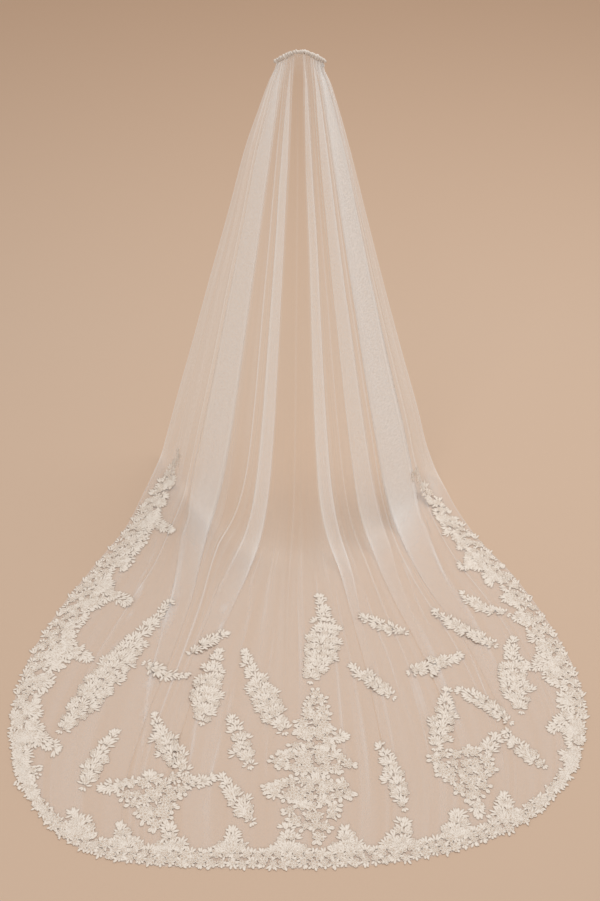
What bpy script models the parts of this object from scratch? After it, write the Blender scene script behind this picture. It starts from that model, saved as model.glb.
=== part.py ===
"""A cathedral bridal veil: one panel of soft tulle gathered to a narrow band, hanging to the floor
and spreading into a train, with a lace border sewn along its sides and hem and lace sprays on the train.

Metres, +Z up. The origin is the middle of the gathered band, where the hair holds it, and the floor is
1.60 m below. The train runs out towards -Y, and the wearer's space is the open hollow on the +Y side.
"""

import math
from collections import namedtuple

import bmesh
import bpy
from mathutils import Vector
from mathutils.bvhtree import BVHTree

FLOOR = -1.600
WALL = 0.0012
LACE = 0.0015
SEAM = 0.0003
CLEAR = 0.0004

BAND_RADIUS = 0.006
BAND_OVERHANG = 1.03
BAND_POINTS = 25
BAND_SEAT = 0.0008

# The sheet's own form, one line for each section from the band to the hem. A section is a curve from the
# left edge through the middle to the right edge. A round of 1 is a parabola, and 0 is a straight run with
# a round corner.
Section = namedtuple("Section", "mid_y mid_z left_x left_y right_x right_y side_z left_round right_round")
REST = FLOOR + WALL / 2
SECTIONS = [
    Section(0.000, -0.0125, -0.063, 0.022, 0.063, 0.022, -0.050, 1.0, 1.0),
    Section(-0.006, -0.0450, -0.071, 0.030, 0.068, 0.028, -0.074, 1.0, 1.0),
    Section(-0.015, -0.0950, -0.088, 0.038, 0.085, 0.033, -0.114, 1.0, 1.0),
    Section(-0.030, -0.1800, -0.114, 0.048, 0.108, 0.038, -0.190, 1.0, 1.0),
    Section(-0.055, -0.3200, -0.158, 0.068, 0.145, 0.044, -0.325, 1.0, 1.0),
    Section(-0.095, -0.5500, -0.216, 0.101, 0.201, 0.061, -0.550, 1.0, 1.0),
    Section(-0.140, -0.8000, -0.284, 0.138, 0.264, 0.080, -0.800, 1.0, 1.0),
    Section(-0.187, -1.0500, -0.350, 0.174, 0.330, 0.099, -1.050, 1.0, 1.0),
    Section(-0.235, -1.2800, -0.413, 0.208, 0.393, 0.116, -1.280, 1.0, 1.0),
    Section(-0.268, -1.4300, -0.455, 0.231, 0.432, 0.127, -1.440, 1.0, 1.0),
    Section(-0.300, -1.5250, -0.481, 0.238, 0.462, 0.130, -1.535, 1.0, 1.0),
    Section(-0.345, -1.5720, -0.495, 0.218, 0.482, 0.112, -1.578, 1.0, 1.0),
    Section(-0.410, -1.5910, -0.512, 0.160, 0.503, 0.062, -1.5945, 1.0, 1.0),
    Section(-0.495, REST, -0.543, 0.030, 0.536, -0.050, REST, 0.95, 0.95),
    Section(-0.610, REST, -0.587, -0.145, 0.590, -0.190, REST, 0.85, 0.88),
    Section(-0.770, REST, -0.668, -0.320, 0.684, -0.360, REST, 0.70, 0.80),
    Section(-0.930, REST, -0.752, -0.510, 0.760, -0.540, REST, 0.55, 0.72),
    Section(-1.080, REST, -0.812, -0.700, 0.814, -0.725, REST, 0.40, 0.65),
    Section(-1.210, REST, -0.832, -0.860, 0.828, -0.870, REST, 0.28, 0.60),
    Section(-1.325, REST, -0.820, -0.985, 0.805, -0.995, REST, 0.16, 0.55),
    Section(-1.420, REST, -0.790, -1.080, 0.775, -1.075, REST, 0.06, 0.50),
]
LAST = len(SECTIONS) - 1
CORNER_POWER = 6
ARCH_POWER = 1.4

# The folds from left to right. hang, contact and spread are a fold's place as a share of the sheet's half
# width on the hanging stretch, where the sheet meets the floor, and on the train. The widths are shares too,
# and end is the section where the fold has opened flat. gathers is how many small gathers lie between it and
# the next.
Fold = namedtuple("Fold", "name lean hang contact spread wide_hang wide_floor end gathers")
FOLDS = [
    Fold("left_outer", 0, -0.79, -0.80, -0.82, 0.012, 0.012, 17.5, 1),
    Fold("left_sweep", -1, -0.57, -0.62, -0.57, 0.17, 0.110, 16.35, 2),
    Fold("left_line", 0, -0.39, -0.53, -0.52, 0.014, 0.012, 17.0, 2),
    Fold("left_inner", -1, -0.23, -0.33, -0.43, 0.075, 0.090, 16.35, 3),
    Fold("middle_line", 0, -0.04, -0.07, -0.06, 0.014, 0.010, 16.0, 3),
    Fold("right_inner", 1, 0.15, 0.27, 0.29, 0.075, 0.055, 15.35, 2),
    Fold("right_line", 0, 0.33, 0.43, 0.46, 0.014, 0.012, 17.0, 2),
    Fold("right_middle", 1, 0.43, 0.50, 0.54, 0.105, 0.085, 15.35, 1),
    Fold("right_fan", 0, 0.595, 0.63, 0.67, 0.014, 0.012, 17.4, 1),
    Fold("right_sweep", 1, 0.65, 0.68, 0.72, 0.180, 0.120, 16.35, 1),
    Fold("right_outer", 0, 0.885, 0.87, 0.87, 0.012, 0.012, 17.0, 1),
]
HANG, LEAVE, CONTACT, SPREAD = 4, 8, 12, 16
EDGE_SHARES = (1.0, 0.965, 0.925)

# Heights of the gathers and folds at each stretch, as (section, metres).
GATHER_HEIGHT = ((0, 0.0070), (1, 0.0080), (3, 0.0070), (5, 0.0036), (8, 0.0018), (11, 0.0))
RIDGE_HEIGHT = ((0, 0.0070), (2, 0.0080), (5, 0.0060), (10, 0.0055), (13, 0.0050))
LAYER = ((0, 0.0040), (11, 0.0042), (14, 0.0034))
UPRIGHT = ((0, 1.0), (1, 0.85), (2, 0.52), (3, 0.20), (4, 0.0))

# A laid fold's turns, the crest of a gather on the band, how many sections a laid fold takes to narrow
# before it opens, the height it opens to, the feet of the thin folds, and the room kept between feet.
TURN = 0.0022
CREST = 0.0009
FOLD_RUNOUT = 2.0
OPEN_RIDGE = 0.0040
RIDGE_FOOT = 0.012
RIDGE_FOOT_SHARE = 0.045
FEET_APART = ((0, 0.0007), (1, 0.0028))
SETTLE_ROUNDS = 60
MITRE = 2.4

# The lace border: sprays that reach in from the side borders, and the points along the hem's border.
BORDER_STEP = 0.036
BORDER_ACROSS = (0.0, 0.45, 1.0)
EDGE_INSET = 0.002
TIP = 9.6
LEFT_WIDTH = ((9.6, 0.006), (10, 0.026), (12, 0.075), (14, 0.105), (16, 0.118), (20, 0.120))
RIGHT_WIDTH = ((9.6, 0.006), (10, 0.024), (12, 0.065), (14, 0.100), (16, 0.104), (20, 0.110))
TIP_INSET = ((9.6, 0.120), (10, 0.105), (11, 0.085), (12, 0.062), (13, 0.030), (14, 0.002), (20, 0.002))
LEFT_SPRAYS = ((13.4, 0.060), (15.2, 0.075), (16.4, 0.070), (18.3, 0.075))
RIGHT_SPRAYS = ((14.4, 0.030), (16.7, 0.045), (18.2, 0.030))
HEM_WIDTH = 0.068
HEM_POINT = 0.085
HEM_POINTS_AT = (-0.57, -0.45, -0.33, -0.18, -0.03, 0.12, 0.26, 0.40, 0.54)
HEM_POINT_HALF = 0.062
HEM_ROWS = 7
TOOTH = 0.22

# How the lace is laid: spots tested along each face, how far above it the test looks from, and the rounds
# of lifts.
SPOTS = 20
LOOK_FROM = 0.03
LIFTS = 6

# The sprays on the train. A leaf form is widest at the middle and pointed at both ends, and a fan is wide
# at its root and runs down to a point.
Spray = namedtuple("Spray", "name root_x root_y tip_x tip_y width bend form")
SPRAYS = [
    Spray("spray_left_long", -0.68, -0.98, -0.41, -0.48, 0.110, 0.00, "leaf"),
    Spray("spray_left_small", -0.33, -0.69, -0.22, -0.61, 0.040, 0.00, "leaf"),
    Spray("spray_left_centre", -0.28, -0.95, -0.24, -0.68, 0.100, 0.01, "leaf"),
    Spray("spray_left_inner", -0.14, -1.10, -0.20, -0.93, 0.070, 0.00, "leaf"),
    Spray("spray_centre_long", -0.045, -0.985, -0.17, -0.68, 0.090, 0.01, "leaf"),
    Spray("spray_left_low", -0.32, -1.120, -0.42, -0.92, 0.070, 0.01, "leaf"),
    Spray("spray_left_side", -0.59, -1.17, -0.52, -0.98, 0.075, 0.01, "leaf"),
    Spray("spray_hem_left", -0.13, -1.28, -0.22, -1.13, 0.064, 0.00, "leaf"),
    Spray("cluster_left", -0.40, -1.160, -0.388, -1.290, 0.180, 0.00, "fan"),
    Spray("cluster_centre_crown", 0.038, -1.030, 0.048, -0.855, 0.130, 0.00, "fan"),
    Spray("cluster_centre_shoulder", 0.135, -1.087, -0.085, -1.087, 0.076, 0.00, "leaf"),
    Spray("cluster_centre_tier", 0.14, -1.181, -0.105, -1.181, 0.074, 0.00, "leaf"),
    Spray("cluster_centre_foot", 0.034, -1.236, 0.040, -1.318, 0.145, 0.00, "fan"),
    Spray("spray_centre_tall", 0.03, -0.80, 0.06, -0.455, 0.115, -0.028, "leaf"),
    Spray("spray_right_small", 0.32, -0.61, 0.19, -0.54, 0.044, 0.01, "leaf"),
    Spray("spray_right_upper", 0.59, -0.66, 0.42, -0.52, 0.056, 0.01, "leaf"),
    Spray("spray_right_branch", 0.645, -0.535, 0.51, -0.44, 0.050, 0.02, "leaf"),
    Spray("spray_right_rising", 0.33, -0.77, 0.49, -0.70, 0.066, 0.00, "leaf"),
    Spray("spray_right_inner", 0.27, -0.86, 0.15, -0.74, 0.060, 0.00, "leaf"),
    Spray("spray_right_tall", 0.64, -0.91, 0.65, -0.63, 0.100, 0.01, "leaf"),
    Spray("spray_right_slant", 0.60, -0.95, 0.46, -0.83, 0.060, -0.01, "leaf"),
    Spray("spray_right_centre", 0.38, -1.04, 0.43, -0.83, 0.078, -0.01, "leaf"),
    Spray("spray_right_side", 0.675, -1.10, 0.58, -0.98, 0.060, 0.01, "leaf"),
    Spray("spray_hem_right", 0.28, -1.235, 0.22, -1.03, 0.070, -0.01, "leaf"),
    Spray("cluster_right", 0.45, -1.065, 0.475, -1.225, 0.180, 0.00, "fan"),
]
SPRAY_STEP = 0.030
LEAF_ACROSS = (-1.0, 0.0, 1.0)
EYELET_SHARE = 0.36
EYELET_EVERY = 3


def along(table, place):
    """The value of a table of (place, value) pairs, on straight runs between its lines."""
    if place <= table[0][0]:
        return table[0][1]
    for (start, low), (end, high) in zip(table, table[1:]):
        if place <= end:
            return low + (high - low) * (place - start) / (end - start)
    return table[-1][1]


def sheet_section(place):
    """The section at a place between two lines of the table, on a smooth curve through all of them."""
    whole = min(int(place), LAST - 1)
    share = place - whole
    before, here = SECTIONS[max(whole - 1, 0)], SECTIONS[whole]
    after, beyond = SECTIONS[whole + 1], SECTIONS[min(whole + 2, LAST)]
    values = []
    for a, b, c, d in zip(before, here, after, beyond):
        curve = 2 * b + (c - a) * share + (2 * a - 5 * b + 4 * c - d) * share ** 2
        values.append(0.5 * (curve + (3 * b - a - 3 * c + d) * share ** 3))
    smooth = Section(*values)
    return smooth._replace(mid_z=max(smooth.mid_z, REST), side_z=max(smooth.side_z, REST))


def sheet_point(section, share):
    """A point of the unfolded sheet, at a share of the half width from -1 on the left to 1 on the right."""
    left = share < 0
    edge_x = -section.left_x if left else section.right_x
    edge_y = section.left_y if left else section.right_y
    roundness = section.left_round if left else section.right_round
    rise = roundness * share ** 2 + (1 - roundness) * abs(share) ** CORNER_POWER
    y = section.mid_y + (edge_y - section.mid_y) * rise
    z = section.mid_z + (section.side_z - section.mid_z) * abs(share) ** ARCH_POWER
    return Vector((edge_x * share, y, z))


def sheet_frame(place, share):
    """A point of the unfolded sheet with the direction across it and the one out of its upper side."""
    step = 0.02
    here = sheet_section(place)
    point = sheet_point(here, share)
    across = (sheet_point(here, share + step) - sheet_point(here, share - step)).normalized()
    above = sheet_point(sheet_section(max(place - 0.1, 0)), share)
    below = sheet_point(sheet_section(min(place + 0.1, LAST)), share)
    out = (below - above).normalized().cross(across).normalized()
    if place >= CONTACT:
        across.z = 0
        across.normalize()
        out = Vector((0, 0, 1))
    if place == 0:
        out = band_upwards(across).cross(across) * -1
    return point, across, out


def band_upwards(across):
    """The direction from the gathered edge into its band, square to the arch."""
    return Vector((0, -1, 0)).cross(across).normalized()


def gather_pitch():
    """The share of the half width that each gather takes on the band."""
    gathers = len(FOLDS) + sum(fold.gathers for fold in FOLDS) + 1
    return 2 / gathers


def eased(table, place):
    """The value of a table of (place, value) pairs, on a smooth curve through its lines."""
    if place <= table[0][0]:
        return table[0][1]
    if place >= table[-1][0]:
        return table[-1][1]
    slopes = [(high - low) / (end - start) for (start, low), (end, high) in zip(table, table[1:])]
    turns = [0.0] + [(a + b) / 2 for a, b in zip(slopes, slopes[1:])] + [0.0]
    index = max(number for number, line in enumerate(table) if line[0] <= place)
    (start, low), (end, high) = table[index], table[index + 1]
    run, share = end - start, (place - start) / (end - start)
    bend = share * (1 - share) * run * (turns[index] * (1 - share) - turns[index + 1] * share)
    return low + (high - low) * share ** 2 * (3 - 2 * share) + bend


def fold_place(comb, hang, contact, spread, place):
    """Where a fold lies, from its places on the band, on the hanging stretch, at the floor and on the train."""
    if place <= HANG:
        return along(((0, comb), (HANG, hang)), place)
    return eased(((HANG, hang), (LEAVE, hang), (CONTACT, contact), (SPREAD, spread)), place)


def laid_fold(fold, centre, place):
    """The six columns of a pleat that stands on the band and lies down to one side below it."""
    upright = along(UPRIGHT, place)
    width = along(((HANG, fold.wide_hang), (9, fold.wide_hang), (CONTACT, fold.wide_floor)), place)
    left = fold.end - place
    flat = max(0.0, min(1.0, 1 - left))
    width *= (1 - upright) * max(0.0, min(1.0, (left - 1) / FOLD_RUNOUT))
    layer = along(LAYER, place)
    height = along(GATHER_HEIGHT, 0)
    tip = centre + fold.lean * width
    stand = [
        (-2.2 * CREST, -0.17 * height), (-1.6 * CREST, 0.17 * height), (-CREST, 0.5 * height),
        (CREST, 0.5 * height), (1.6 * CREST, 0.17 * height), (2.2 * CREST, -0.17 * height),
    ]
    lie = [
        (centre, 0.0, 0.0), (centre, 1.0, 0.5 * layer), (tip, 0.0, layer),
        (tip, -1.0, 1.5 * layer), (centre, 1.6, 2 * layer), (centre, 3.6, 0.0),
    ]
    spread = [(-5, 0.0), (-3, 0.6), (-1, 1.0), (1, 1.0), (3, 0.6), (5, 0.0)]
    if fold.lean > 0:
        stand = [(-across, up) for across, up in reversed(stand)]
        lie = [(share, -turns, up) for share, turns, up in reversed(lie)]
    low = OPEN_RIDGE * max(0.0, min(1.0, 0.65 + left))
    columns = []
    for (stand_across, stand_up), (share, turns, lie_up), (wide, rise) in zip(stand, lie, spread):
        turns = (1 - flat) * turns + flat * wide
        lie_up = (1 - flat) * lie_up + flat * rise * low
        across = upright * stand_across + (1 - upright) * turns * TURN
        out = upright * stand_up + (1 - upright) * lie_up
        columns.append((share, across, out))
    return columns


def ridge_fold(fold, centre, place):
    """The three columns of a thin fold that shows as a line."""
    upright = along(UPRIGHT, place)
    fading = max(0.0, min(1.0, (fold.end - place) / 3))
    width = min(RIDGE_FOOT, RIDGE_FOOT_SHARE * -sheet_section(place).left_x)
    height = along(RIDGE_HEIGHT, place) * fading
    low = -0.5 * height * upright
    side = upright * 0.0016 + (1 - upright) * width
    return [(centre, -side, low * 0.3), (centre, 0.0, low + height), (centre, side, low * 0.3)]


def fold_marks(place):
    """The folds and small gathers of one section in order, each with its wanted place; a gather has no fold."""
    pitch = gather_pitch()
    marks = [(None, fold_place(-1 + pitch, -0.885, -0.875, -0.875, place))]
    comb = -1 + 2 * pitch
    for fold, following in zip(FOLDS, FOLDS[1:] + [None]):
        marks.append((fold, fold_place(comb, fold.hang, fold.contact, fold.spread, place)))
        comb += pitch
        for number in range(fold.gathers):
            share = (number + 1) / (fold.gathers + 1)
            reach = zip(fold_reach(fold, "right"), fold_reach(following, "left"))
            spots = [low + (high - low) * share for low, high in reach]
            marks.append((None, fold_place(comb, *spots, place)))
            comb += pitch
    return marks


def mark_columns(fold, centre, place):
    """The columns of one fold or small gather as (share, metres across, metres out)."""
    if fold is None:
        gather = along(GATHER_HEIGHT, place)
        return [(centre, 0.0, gather - 0.5 * gather * along(UPRIGHT, place))]
    if fold.lean:
        return laid_fold(fold, centre, place)
    return ridge_fold(fold, centre, place)


def settle_marks(marks, place):
    """Moves neighbours apart where their feet would meet, and gives each mark's columns and its two feet."""
    section = sheet_section(place)
    centres = [centre for _, centre in marks]
    for _ in range(SETTLE_ROUNDS):
        groups = [mark_columns(fold, centre, place) for (fold, _), centre in zip(marks, centres)]
        feet = []
        for group, centre in zip(groups, centres):
            metre = 0.02 / (sheet_point(section, centre + 0.01) - sheet_point(section, centre - 0.01)).length
            spots = [share + across * metre for share, across, _ in group]
            feet.append((min(spots), max(spots), metre))
        crowded = False
        for index in range(len(marks) - 1):
            room = along(FEET_APART, place) * feet[index][2]
            short = feet[index][1] + room - feet[index + 1][0]
            if short > 0:
                crowded = True
                centres[index] -= short / 2
                centres[index + 1] += short / 2
        centres[0] = max(centres[0], -EDGE_SHARES[-1] + 0.012)
        centres[-1] = min(centres[-1], EDGE_SHARES[-1] - 0.012)
        if not crowded:
            break
    return groups, feet


def section_columns(place):
    """Every column of one section as (share, metres across, metres out), from the left edge to the right."""
    valley = -0.5 * along(GATHER_HEIGHT, place) * along(UPRIGHT, place)
    groups, feet = settle_marks(fold_marks(place), place)
    columns = [(-share, 0.0, low) for share, low in zip(EDGE_SHARES, (0.4 * valley, 0.0, 0.0))]
    previous = columns[-1][0]
    for group, (left, right, _) in zip(groups, feet):
        columns.append(((previous + left) / 2, 0.0, valley))
        columns += group
        previous = right
    columns.append(((previous + EDGE_SHARES[-1]) / 2, 0.0, valley))
    columns += [(share, 0.0, low) for share, low in zip(reversed(EDGE_SHARES), (0.0, 0.0, 0.4 * valley))]
    return columns


def fold_reach(fold, side):
    """How far a fold covers the sheet on one side, on the hanging stretch, at the floor and on the train."""
    if fold is None:
        return (0.94, 0.94, 0.94)
    leans_here = (side == "right" and fold.lean > 0) or (side == "left" and fold.lean < 0)
    hang = fold.hang + (fold.lean * fold.wide_hang if leans_here else 0)
    contact = fold.contact + (fold.lean * fold.wide_floor if leans_here else 0)
    spread = fold.spread + (fold.lean * fold.wide_floor * 0.3 if leans_here else 0)
    return (hang, contact, spread)


def section_points(place):
    """The points of one folded section, in metres."""
    points = []
    for share, across, out in section_columns(place):
        point, side, up = sheet_frame(place, share)
        points.append(point + side * across + up * out)
    return points


def new_material(name, colour, roughness):
    material = bpy.data.materials.new(name)
    material.use_nodes = True
    shader = material.node_tree.nodes["Principled BSDF"]
    shader.inputs["Base Color"].default_value = (*colour, 1.0)
    shader.inputs["Roughness"].default_value = roughness
    shader.inputs["Metallic"].default_value = 0.0
    return material


def add_object(name, mesh, material, collection):
    mesh.materials.append(material)
    item = bpy.data.objects.new(name, mesh)
    collection.objects.link(item)
    return item


def grid_mesh(name, rows):
    """An open surface through rows of points, its upper side facing out."""
    surface = bmesh.new()
    lines = [[surface.verts.new(point) for point in row] for row in rows]
    for upper, lower in zip(lines, lines[1:]):
        for a, b, c, d in zip(upper, lower, lower[1:], upper[1:]):
            surface.faces.new((a, b, c, d))
    mesh = bpy.data.meshes.new(name)
    surface.to_mesh(mesh)
    surface.free()
    return mesh


def thicken(item, thickness):
    """Gives a lace surface its thickness, above the side that lies on the tulle."""
    wall = item.modifiers.new("wall", "SOLIDIFY")
    wall.thickness = thickness
    wall.offset = 1.0
    wall.use_rim = True


def wall_offsets(rows):
    """How far each point moves out to reach the wall's upper side, mitred at the folds so the wall stays even."""
    offsets = []
    for number, row in enumerate(rows):
        above, below = rows[max(number - 1, 0)], rows[min(number + 1, len(rows) - 1)]
        line = []
        for index, point in enumerate(row):
            down = (below[index] - above[index]).normalized()
            before = point - row[index - 1] if index else row[1] - row[0]
            after = row[index + 1] - point if index + 1 < len(row) else before
            first, second = down.cross(before).normalized(), down.cross(after).normalized()
            out = (first + second).normalized()
            line.append(out * (WALL / 2) * min(MITRE, 1 / max(out.dot(first), 0.1)))
        offsets.append(line)
    return offsets


def wall_mesh(name, rows):
    """The closed wall around a folded surface, resting flat on the floor where it lies."""
    surface = bmesh.new()
    sides = []
    for sign in (1, -1):
        lines = []
        for row, line in zip(rows, wall_offsets(rows)):
            points = [point + offset * sign for point, offset in zip(row, line)]
            lines.append([surface.verts.new((spot.x, spot.y, max(spot.z, FLOOR))) for spot in points])
        sides.append(lines)
    upper, lower = sides
    for top, bottom in zip(upper, upper[1:]):
        for a, b, c, d in zip(top, bottom, bottom[1:], top[1:]):
            surface.faces.new((a, b, c, d))
    for top, bottom in zip(lower, lower[1:]):
        for a, b, c, d in zip(top, top[1:], bottom[1:], bottom):
            surface.faces.new((a, b, c, d))
    edges = [
        (upper[0], lower[0], False), (upper[-1], lower[-1], True),
        ([row[0] for row in upper], [row[0] for row in lower], True),
        ([row[-1] for row in upper], [row[-1] for row in lower], False),
    ]
    for outer, inner, turned in edges:
        for a, b, c, d in zip(outer, outer[1:], inner[1:], inner):
            surface.faces.new((d, c, b, a) if turned else (a, b, c, d))
    mesh = bpy.data.meshes.new(name)
    surface.to_mesh(mesh)
    surface.free()
    return mesh


def build_tulle(material, collection):
    rows = [section_points(place) for place in range(LAST + 1)]
    tulle = add_object("tulle", wall_mesh("tulle", rows), material, collection)
    return rows, tulle.data


def build_band(material, collection):
    """The gathered top edge's rolled binding, along the same arch as the sheet's first section."""
    top = SECTIONS[0]
    curve = bpy.data.curves.new("gathered_band", "CURVE")
    curve.dimensions = "3D"
    curve.bevel_depth = BAND_RADIUS
    curve.bevel_resolution = 2
    curve.use_fill_caps = True
    spline = curve.splines.new("POLY")
    spline.points.add(BAND_POINTS - 1)
    for index, point in enumerate(spline.points):
        share = BAND_OVERHANG * (2 * index / (BAND_POINTS - 1) - 1)
        across = (sheet_point(top, share + 0.01) - sheet_point(top, share - 0.01)).normalized()
        place = sheet_point(top, share) + band_upwards(across) * (BAND_RADIUS + BAND_SEAT)
        point.co = (*place, 1.0)
    item = bpy.data.objects.new("gathered_band", curve)
    curve.materials.append(material)
    collection.objects.link(item)


def tulle_cover(mesh):
    """The tulle's wall as a tree that the lace is laid on."""
    mesh.calc_loop_triangles()
    points = [vert.co.copy() for vert in mesh.vertices]
    return BVHTree.FromPolygons(points, [tuple(face.vertices) for face in mesh.loop_triangles])


def lay_clear(mesh, ups, cover):
    """Lifts a lace surface until each of its faces clears the tulle under it by the seam's gap."""
    surface = bmesh.new()
    surface.from_mesh(mesh)
    for _ in range(LIFTS):
        raises = {}
        for face in surface.faces:
            up = sum((ups[vert.index] for vert in face.verts), Vector()).normalized()
            short = max(shortage(spot, up, cover) for spot in face_spots(face))
            if short > 0:
                for vert in face.verts:
                    raises[vert] = max(raises.get(vert, 0.0), short)
        for vert, short in raises.items():
            vert.co += ups[vert.index] * short
        if not raises:
            break
    surface.to_mesh(mesh)
    surface.free()


def face_spots(face):
    """Points spread evenly over a face, however its corners are joined."""
    corners = [vert.co for vert in face.verts]
    for turn in range(len(corners)):
        first, second, third = corners[turn - 2], corners[turn - 1], corners[turn]
        for i in range(SPOTS + 1):
            for j in range(SPOTS + 1 - i):
                yield first + (second - first) * (i / SPOTS) + (third - first) * (j / SPOTS)


def shortage(spot, up, cover):
    """How much a point must rise to clear the tulle, looking back at it from well above."""
    hit, _, _, distance = cover.ray_cast(spot + up * LOOK_FROM, -up, 2 * LOOK_FROM)
    if hit is None:
        return 0.0
    return CLEAR - (distance - LOOK_FROM)


def cut_eyelets(mesh, chosen):
    """Cuts a gap through the middle of each chosen face."""
    surface = bmesh.new()
    surface.from_mesh(mesh)
    surface.faces.ensure_lookup_table()
    faces = [surface.faces[index] for index in chosen]
    width = min(min(edge.calc_length() for edge in face.edges) for face in faces) * EYELET_SHARE
    bmesh.ops.inset_individual(surface, faces=faces, thickness=width, depth=0.0)
    bmesh.ops.delete(surface, geom=faces, context="FACES")
    surface.to_mesh(mesh)
    surface.free()


def tidy_upwards(rows):
    """Turns a grid round where its upper side would face down."""
    first, second, below = rows[0][0], rows[0][1], rows[1][0]
    if (below - first).cross(second - first).z < 0:
        return [list(reversed(row)) for row in rows]
    return rows


def add_lace(name, rows, ups, eyelets, cover, material, collection):
    mesh = grid_mesh(name, rows)
    lay_clear(mesh, ups, cover)
    if eyelets:
        cut_eyelets(mesh, eyelets)
    item = add_object(name, mesh, material, collection)
    thicken(item, LACE)


def walk(line, distance):
    """The point a distance along a line of points."""
    left = distance
    for start, end in zip(line, line[1:]):
        length = (end - start).length
        if left <= length:
            return start.lerp(end, left / length)
        left -= length
    return line[-1].copy()


def column_at(line, distance):
    """The fractional column that lies a distance along a line of points."""
    left = distance
    for index, (start, end) in enumerate(zip(line, line[1:])):
        length = (end - start).length
        if left <= length:
            return index + left / length
        left -= length
    return len(line) - 1


def length_to(line, column):
    """The length along a line of points as far as a fractional column."""
    whole = int(column)
    length = sum((b - a).length for a, b in zip(line[:whole], line[1:whole + 1]))
    return length + (line[whole + 1] - line[whole]).length * (column - whole)


def side_line(rows, place, from_right):
    """The tulle's own section at a place, on its flat facets, from one edge inwards."""
    whole = min(int(place), LAST - 1)
    share = place - whole
    line = [a.lerp(b, share) for a, b in zip(rows[whole], rows[whole + 1])]
    return list(reversed(line)) if from_right else line


def border_places(rows, from_right):
    """Places along a side border about a step apart, from its tip to the hem."""
    column = -1 if from_right else 0
    places = [TIP, 10.0]
    for whole in range(10, LAST):
        length = (rows[whole + 1][column] - rows[whole][column]).length
        count = max(1, round(length / BORDER_STEP))
        places += [whole + (number + 1) / count for number in range(count)]
    return places


def build_side_border(name, rows, from_right, widths, sprays, cover, material, collection):
    """A side's border, from its tip above the floor down along the edge to the hem's corner."""
    points, ups = [], []
    hem = side_line(rows, LAST, from_right)
    corner = column_at(hem, EDGE_INSET + widths[-1][1])
    for number, place in enumerate(border_places(rows, from_right)):
        line = side_line(rows, place, from_right)
        inset = along(TIP_INSET, place)
        width = along(widths, place)
        if place < LAST - 1.2:
            width *= 1 + TOOTH * (1 if number % 2 else -1)
            for centre, reach in sprays:
                width += reach * max(0.0, 1 - abs(place - centre) / 0.45)
        if place > LAST - 2:
            width = min(width, length_to(line, corner) - inset - 2 * SEAM)
        points.append([walk(line, inset + width * share) for share in BORDER_ACROSS])
        ups += [sheet_frame(place, 0.97 if from_right else -0.97)[2]] * len(BORDER_ACROSS)
    across = len(BORDER_ACROSS) - 1
    chosen = [row * across for row in range(8, len(points) - 1, EYELET_EVERY)]
    if from_right:
        points = [list(reversed(row)) for row in points]
    add_lace(name, points, ups, chosen, cover, material, collection)


def build_hem_border(rows, cover, material, collection):
    """The hem's border, with a row of points that reach in over the train."""
    hem = rows[-1]
    length = sum((b - a).length for a, b in zip(hem, hem[1:]))
    start = EDGE_INSET + LEFT_WIDTH[-1][1] + 2 * SEAM
    end = length - EDGE_INSET - RIGHT_WIDTH[-1][1] - 2 * SEAM
    count = round((end - start) / BORDER_STEP)
    lines = []
    for number in range(count + 1):
        distance = start + (end - start) * number / count
        width = HEM_WIDTH * (1 + TOOTH * (0.5 if number % 2 else -0.5))
        column = hem_column(rows, distance)
        for centre in HEM_POINTS_AT:
            width += HEM_POINT * max(0.0, 1 - abs(column[0].x - centre) / HEM_POINT_HALF)
        lines.append([walk(column, EDGE_INSET + width * share) for share in BORDER_ACROSS])
    points = [list(row) for row in reversed(list(zip(*lines)))]
    chosen = [count + column for column in range(2, count - 1, EYELET_EVERY)]
    ups = [Vector((0, 0, 1))] * (len(points) * len(lines))
    add_lace("lace_border_hem", points, ups, chosen, cover, material, collection)


def hem_column(rows, distance):
    """The tulle's own lengthwise line from a distance along the hem, going up from the hem."""
    column = column_at(rows[-1], distance)
    whole = int(column)
    return [row[whole].lerp(row[whole + 1], column - whole) for row in reversed(rows[-HEM_ROWS:])]


def spray_half_width(form, share):
    """Half of a spray's width along its length, as a share of its greatest."""
    if form == "fan":
        return 1.0 - 0.88 * share ** 1.1
    swell = math.sin(math.pi * min(1.0, 0.10 + 0.90 * share) ** 0.80)
    return max(0.16, swell)


def build_spray(spray, cover, material, collection):
    root = Vector((spray.root_x, spray.root_y, 0))
    tip = Vector((spray.tip_x, spray.tip_y, 0))
    spine = tip - root
    side = Vector((-spine.y, spine.x, 0)).normalized()
    count = max(4, round(spine.length / SPRAY_STEP))
    rows = []
    for number in range(count + 1):
        share = number / count
        centre = root + spine * share + side * (spray.bend * math.sin(math.pi * share))
        half = spray.width / 2 * spray_half_width(spray.form, share)
        row = []
        for across in LEAF_ACROSS:
            tooth = 1 + TOOTH * (1 if (number + (across > 0)) % 2 else -1) * abs(across)
            spot = centre + side * (half * across * tooth)
            if abs(across) == 1 and 0 < number < count:
                spot += spine.normalized() * (0.35 * half * (tooth - 1))
            row.append(Vector((spot.x, spot.y, REST + CLEAR + WALL / 2)))
        rows.append(row)
    across = len(LEAF_ACROSS) - 1
    chosen = []
    if spray.width > 0.07:
        chosen = [row * across + (row // 2) % 2 for row in range(1, count - 1, 2)]
    ups = [Vector((0, 0, 1))] * (len(rows) * len(LEAF_ACROSS))
    add_lace(spray.name, tidy_upwards(rows), ups, chosen, cover, material, collection)


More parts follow.
